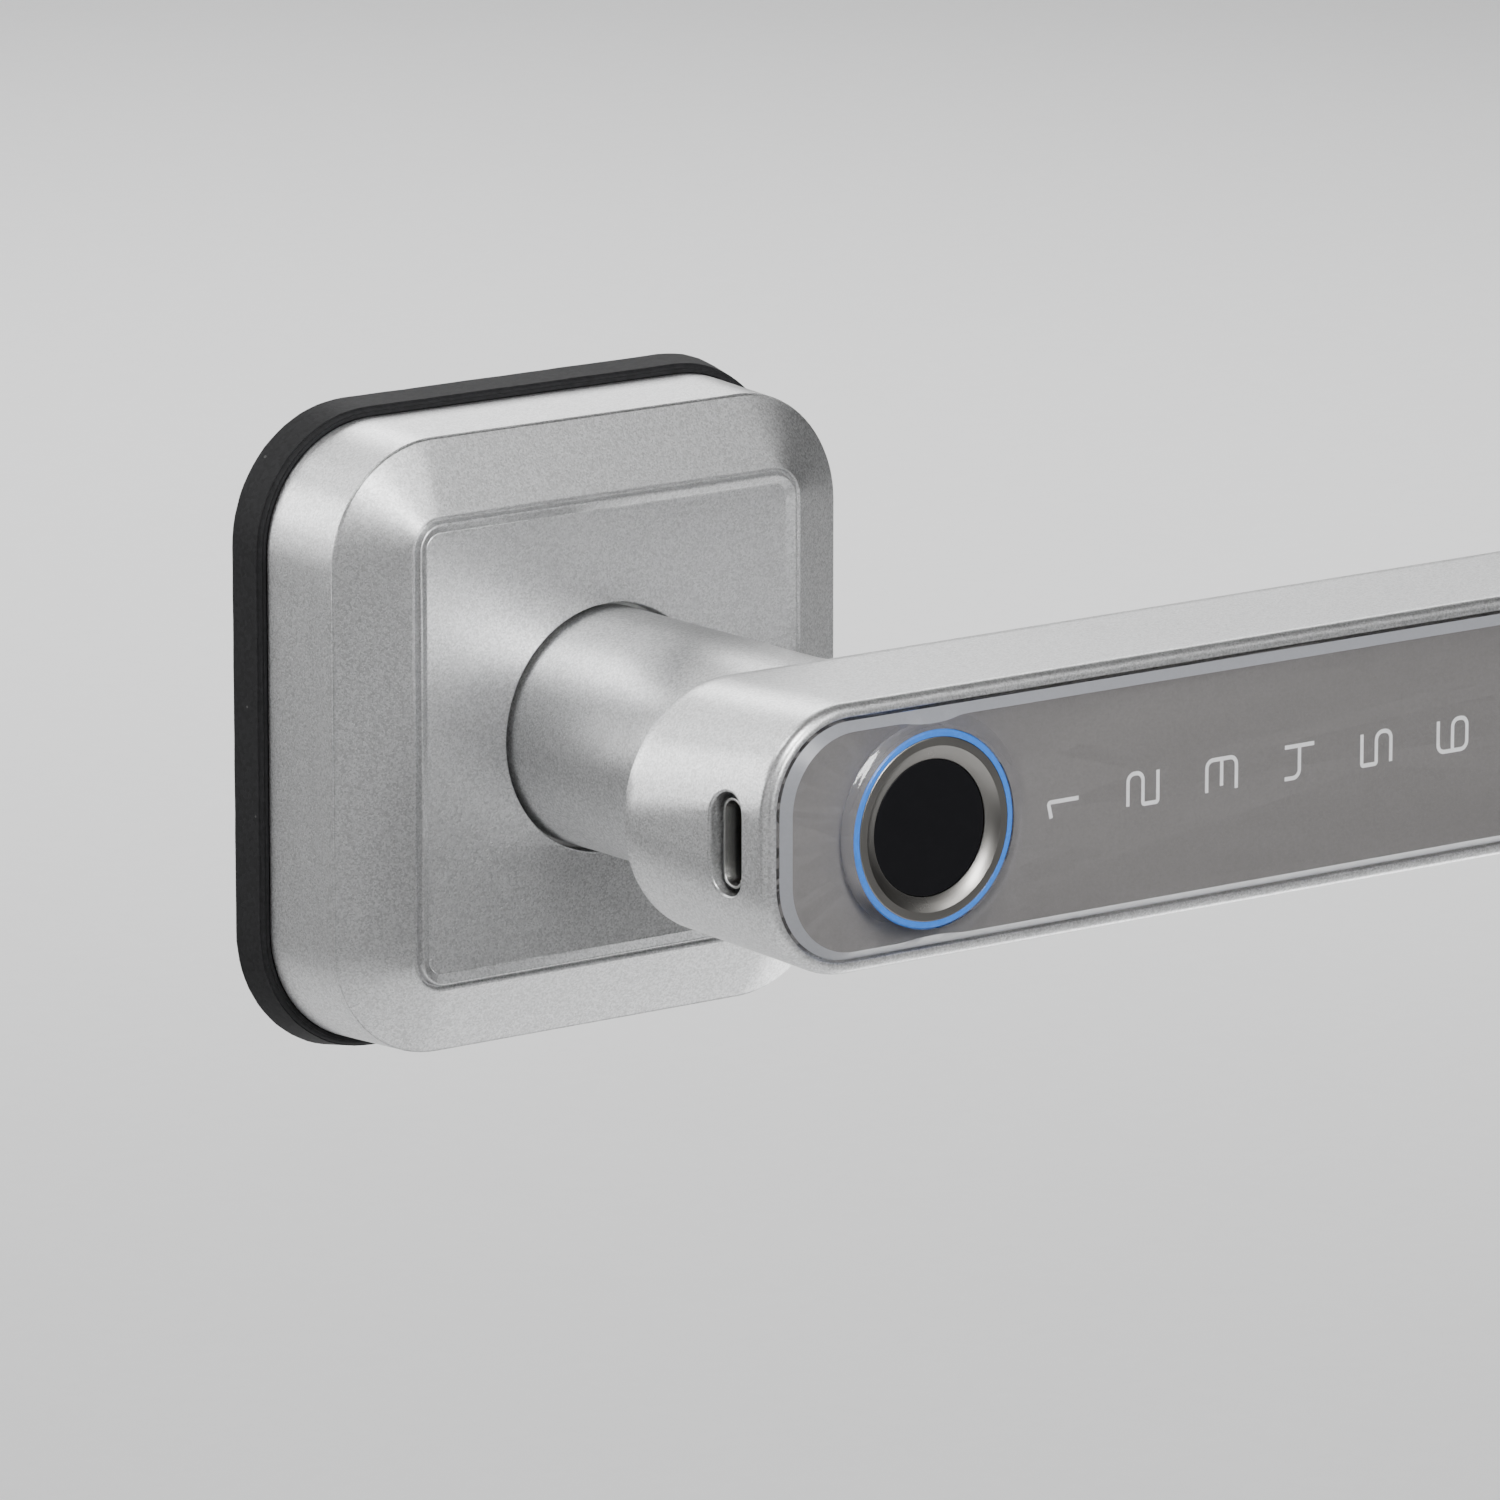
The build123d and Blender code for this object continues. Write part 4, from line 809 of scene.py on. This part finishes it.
# ================================================================ charging port
def make_block_grid_group():
    """Rows of equal blocks, in a grid across Z and along Y."""
    group = bpy.data.node_groups.new("block_grid", "GeometryNodeTree")
    for label, kind in (("Columns", "Int"), ("Rows", "Int"), ("Width", "Float"), ("Spread", "Float"),
                        ("Block Size", "Vector"), ("Place", "Vector"), ("Finish", "Material")):
        group.interface.new_socket(label, in_out="INPUT", socket_type="NodeSocket" + kind)
    group.interface.new_socket("Geometry", in_out="OUTPUT", socket_type="NodeSocketGeometry")
    source, sink = group.nodes.new("NodeGroupInput"), group.nodes.new("NodeGroupOutput")

    def node(kind, **links):
        made = group.nodes.new("GeometryNode" + kind)
        for socket, value in links.items():
            group.links.new(value, made.inputs[socket.replace("_", " ")])
        return made

    grid = node("MeshGrid", Size_X=source.outputs["Width"], Size_Y=source.outputs["Spread"],
                Vertices_X=source.outputs["Columns"], Vertices_Y=source.outputs["Rows"])
    upright = node("Transform", Geometry=grid.outputs["Mesh"], Translation=source.outputs["Place"])
    upright.inputs["Rotation"].default_value = (0.0, math.pi / 2, 0.0)
    block = node("MeshCube", Size=source.outputs["Block Size"])
    blocks = node("InstanceOnPoints", Points=upright.outputs["Geometry"],
                  Instance=block.outputs["Mesh"])
    whole = node("RealizeInstances", Geometry=blocks.outputs["Instances"])
    finished = node("SetMaterial", Geometry=whole.outputs["Geometry"],
                    Material=source.outputs["Finish"])
    group.links.new(finished.outputs["Geometry"], sink.inputs["Geometry"])
    return group


def grown(name, group, **values):
    """A plain mesh grown from a Geometry Nodes tree with the given inputs."""
    piece = bpy.data.objects.new(name, bpy.data.meshes.new(name + "_seed"))
    bpy.context.scene.collection.objects.link(piece)
    modifier = piece.modifiers.new("grow", "NODES")
    modifier.node_group = group
    sockets = {item.name: item.identifier for item in group.interface.items_tree
               if item.in_out == "INPUT"}
    for label, value in values.items():
        modifier[sockets[label.replace("_", " ")]] = value
    evaluated = piece.evaluated_get(bpy.context.evaluated_depsgraph_get())
    mesh = bpy.data.meshes.new_from_object(evaluated)
    piece.modifiers.clear()
    piece.data = mesh
    return piece


def make_contacts():
    length = TONGUE_ROOT_X - TONGUE_TIP_X - CONTACT_SETBACK
    contacts = grown("port_contacts", make_block_grid_group(), Columns=CONTACT_COUNT, Rows=2,
                     Width=(CONTACT_COUNT - 1) * CONTACT_PITCH * MM,
                     Spread=(TONGUE_WIDTH + CONTACT_THICKNESS) * MM,
                     Block_Size=(length * MM, CONTACT_THICKNESS * MM, CONTACT_WIDTH * MM),
                     Place=((TONGUE_ROOT_X - length / 2) * MM, -PORT_DEPTH * MM, 0.0),
                     Finish=MATERIALS["contact_gold"])
    place(contacts, "lever", "contact_gold", "usb_contacts")


def make_port():
    mesh_data = bmesh.new()
    loops = []
    # The wall's section, as (growth of the slot, distance in from the mouth), with a round lip.
    for grow, inward in ((-SHELL_WALL, SHELL_LENGTH), (-SHELL_WALL, 0.12), (-0.26, 0.03),
                         (-0.15, 0.0), (-0.04, 0.03), (0.0, 0.12), (0.0, SHELL_LENGTH)):
        loops.append([(SHELL_MOUTH_X + inward, PORT_DEPTH + d, z)
                      for d, z in slot_points(SHELL_SLOT[0] + 2 * grow, SHELL_SLOT[1] + 2 * grow)])
    ring_of_loops(mesh_data, loops)
    shell = finish_mesh("port_shell_visual", mesh_data, MATERIALS["port_steel"])
    place(shell, "lever", "port_steel", "usb_shell")


make_gasket()
make_cover()
make_lever()
make_lens()
make_sensor()
make_port()
make_contacts()


# ================================================================ stage, lights and camera
def make_stage():
    """A plain pale floor, in metres."""
    floor_height = -0.3
    floor_half = 8.0
    mesh_data = bmesh.new()
    bmesh.ops.create_grid(mesh_data, x_segments=1, y_segments=1, size=floor_half)
    bmesh.ops.translate(mesh_data, verts=mesh_data.verts, vec=(0, 0, floor_height))
    floor = finish_mesh("floor", mesh_data, make_finish("floor_paint", (0.87, 0.872, 0.875), 0.7,
                                                        grain=300.0, contrast=0.01, bump=0.02))


def direction(azimuth, elevation):
    """A unit vector, with azimuth in degrees from -Y towards +X and elevation up from level."""
    azimuth, elevation = math.radians(azimuth), math.radians(elevation)
    return Vector((math.sin(azimuth) * math.cos(elevation), -math.cos(azimuth) * math.cos(elevation),
                   math.sin(elevation)))


def softbox(name, where, facing, width, height, power):
    """A rectangular lamp that lights the scene and isn't seen itself."""
    light = bpy.data.lights.new(name, "AREA")
    light.shape = "RECTANGLE"
    light.size, light.size_y = width, height
    light.energy = power
    lamp = bpy.data.objects.new(name, light)
    lamp.location = where
    lamp.rotation_euler = facing.to_track_quat("-Z", "Y").to_euler()
    lamp.visible_camera = False
    bpy.context.scene.collection.objects.link(lamp)


def make_lights():
    """Soft lamps round the lock, in degrees, metres and watts, and a dim even world."""
    middle = Vector((0.036, -0.03, 0.0))
    down = Vector((0.0, 0.0, -1.0))
    for name, azimuth, elevation, distance, width, height, power in (
            ("key_box", -23, 41, 0.55, 0.20, 0.20, 2.5),
            ("second_key", 18, 34, 0.55, 0.16, 0.16, 0.3),
            ("front_strip", 1, 15, 0.55, 0.07, 0.18, 1.35),
            ("edge_box", 215, 20, 0.55, 0.20, 0.20, 0.8),
            ("side_box", 240, 10, 0.55, 0.25, 0.25, 0.75),
            ("high_side_box", 230, 50, 0.55, 0.20, 0.20, 0.9),
            ("back_box", 180, 33, 0.55, 0.45, 0.20, 0.8),
            ("top_box", 180, 62, 0.55, 0.25, 0.25, 0.15),
            ("low_box", 100, -50, 0.34, 0.16, 0.16, 0.35),
            ("fill_box", 300, 10, 1.0, 0.80, 0.80, 1.1)):
        towards = direction(azimuth, elevation)
        softbox(name, middle + towards * distance, -towards, width, height, power)
    softbox("front_floor_box", Vector((1.0, -1.4, 0.9)), down, 1.5, 1.5, 4)
    softbox("backdrop_box", Vector((0.95, 1.4, 0.65)), down, 1.3, 1.6, 26)
    world = bpy.data.worlds.new("studio")
    world.use_nodes = True
    bpy.context.scene.world = world
    background = world.node_tree.nodes["Background"]
    background.inputs["Color"].default_value = (1.0, 1.0, 1.0, 1.0)
    background.inputs["Strength"].default_value = 0.055


def make_camera():
    """A long lens, so the lock shows almost no perspective."""
    distance = 1.1528
    camera = bpy.data.cameras.new("camera")
    camera.lens = 265.67
    camera.sensor_width = 36.0
    camera.clip_end = 20.0
    holder = bpy.data.objects.new("camera", camera)
    target = Vector((35.9, 5.42, -11.36)) * MM
    back = direction(-37.36, 12.526)
    holder.location = target + back * distance
    holder.rotation_euler = back.to_track_quat("Z", "Y").to_euler()
    bpy.context.scene.collection.objects.link(holder)
    bpy.context.scene.camera = holder


make_stage()
make_lights()
make_camera()
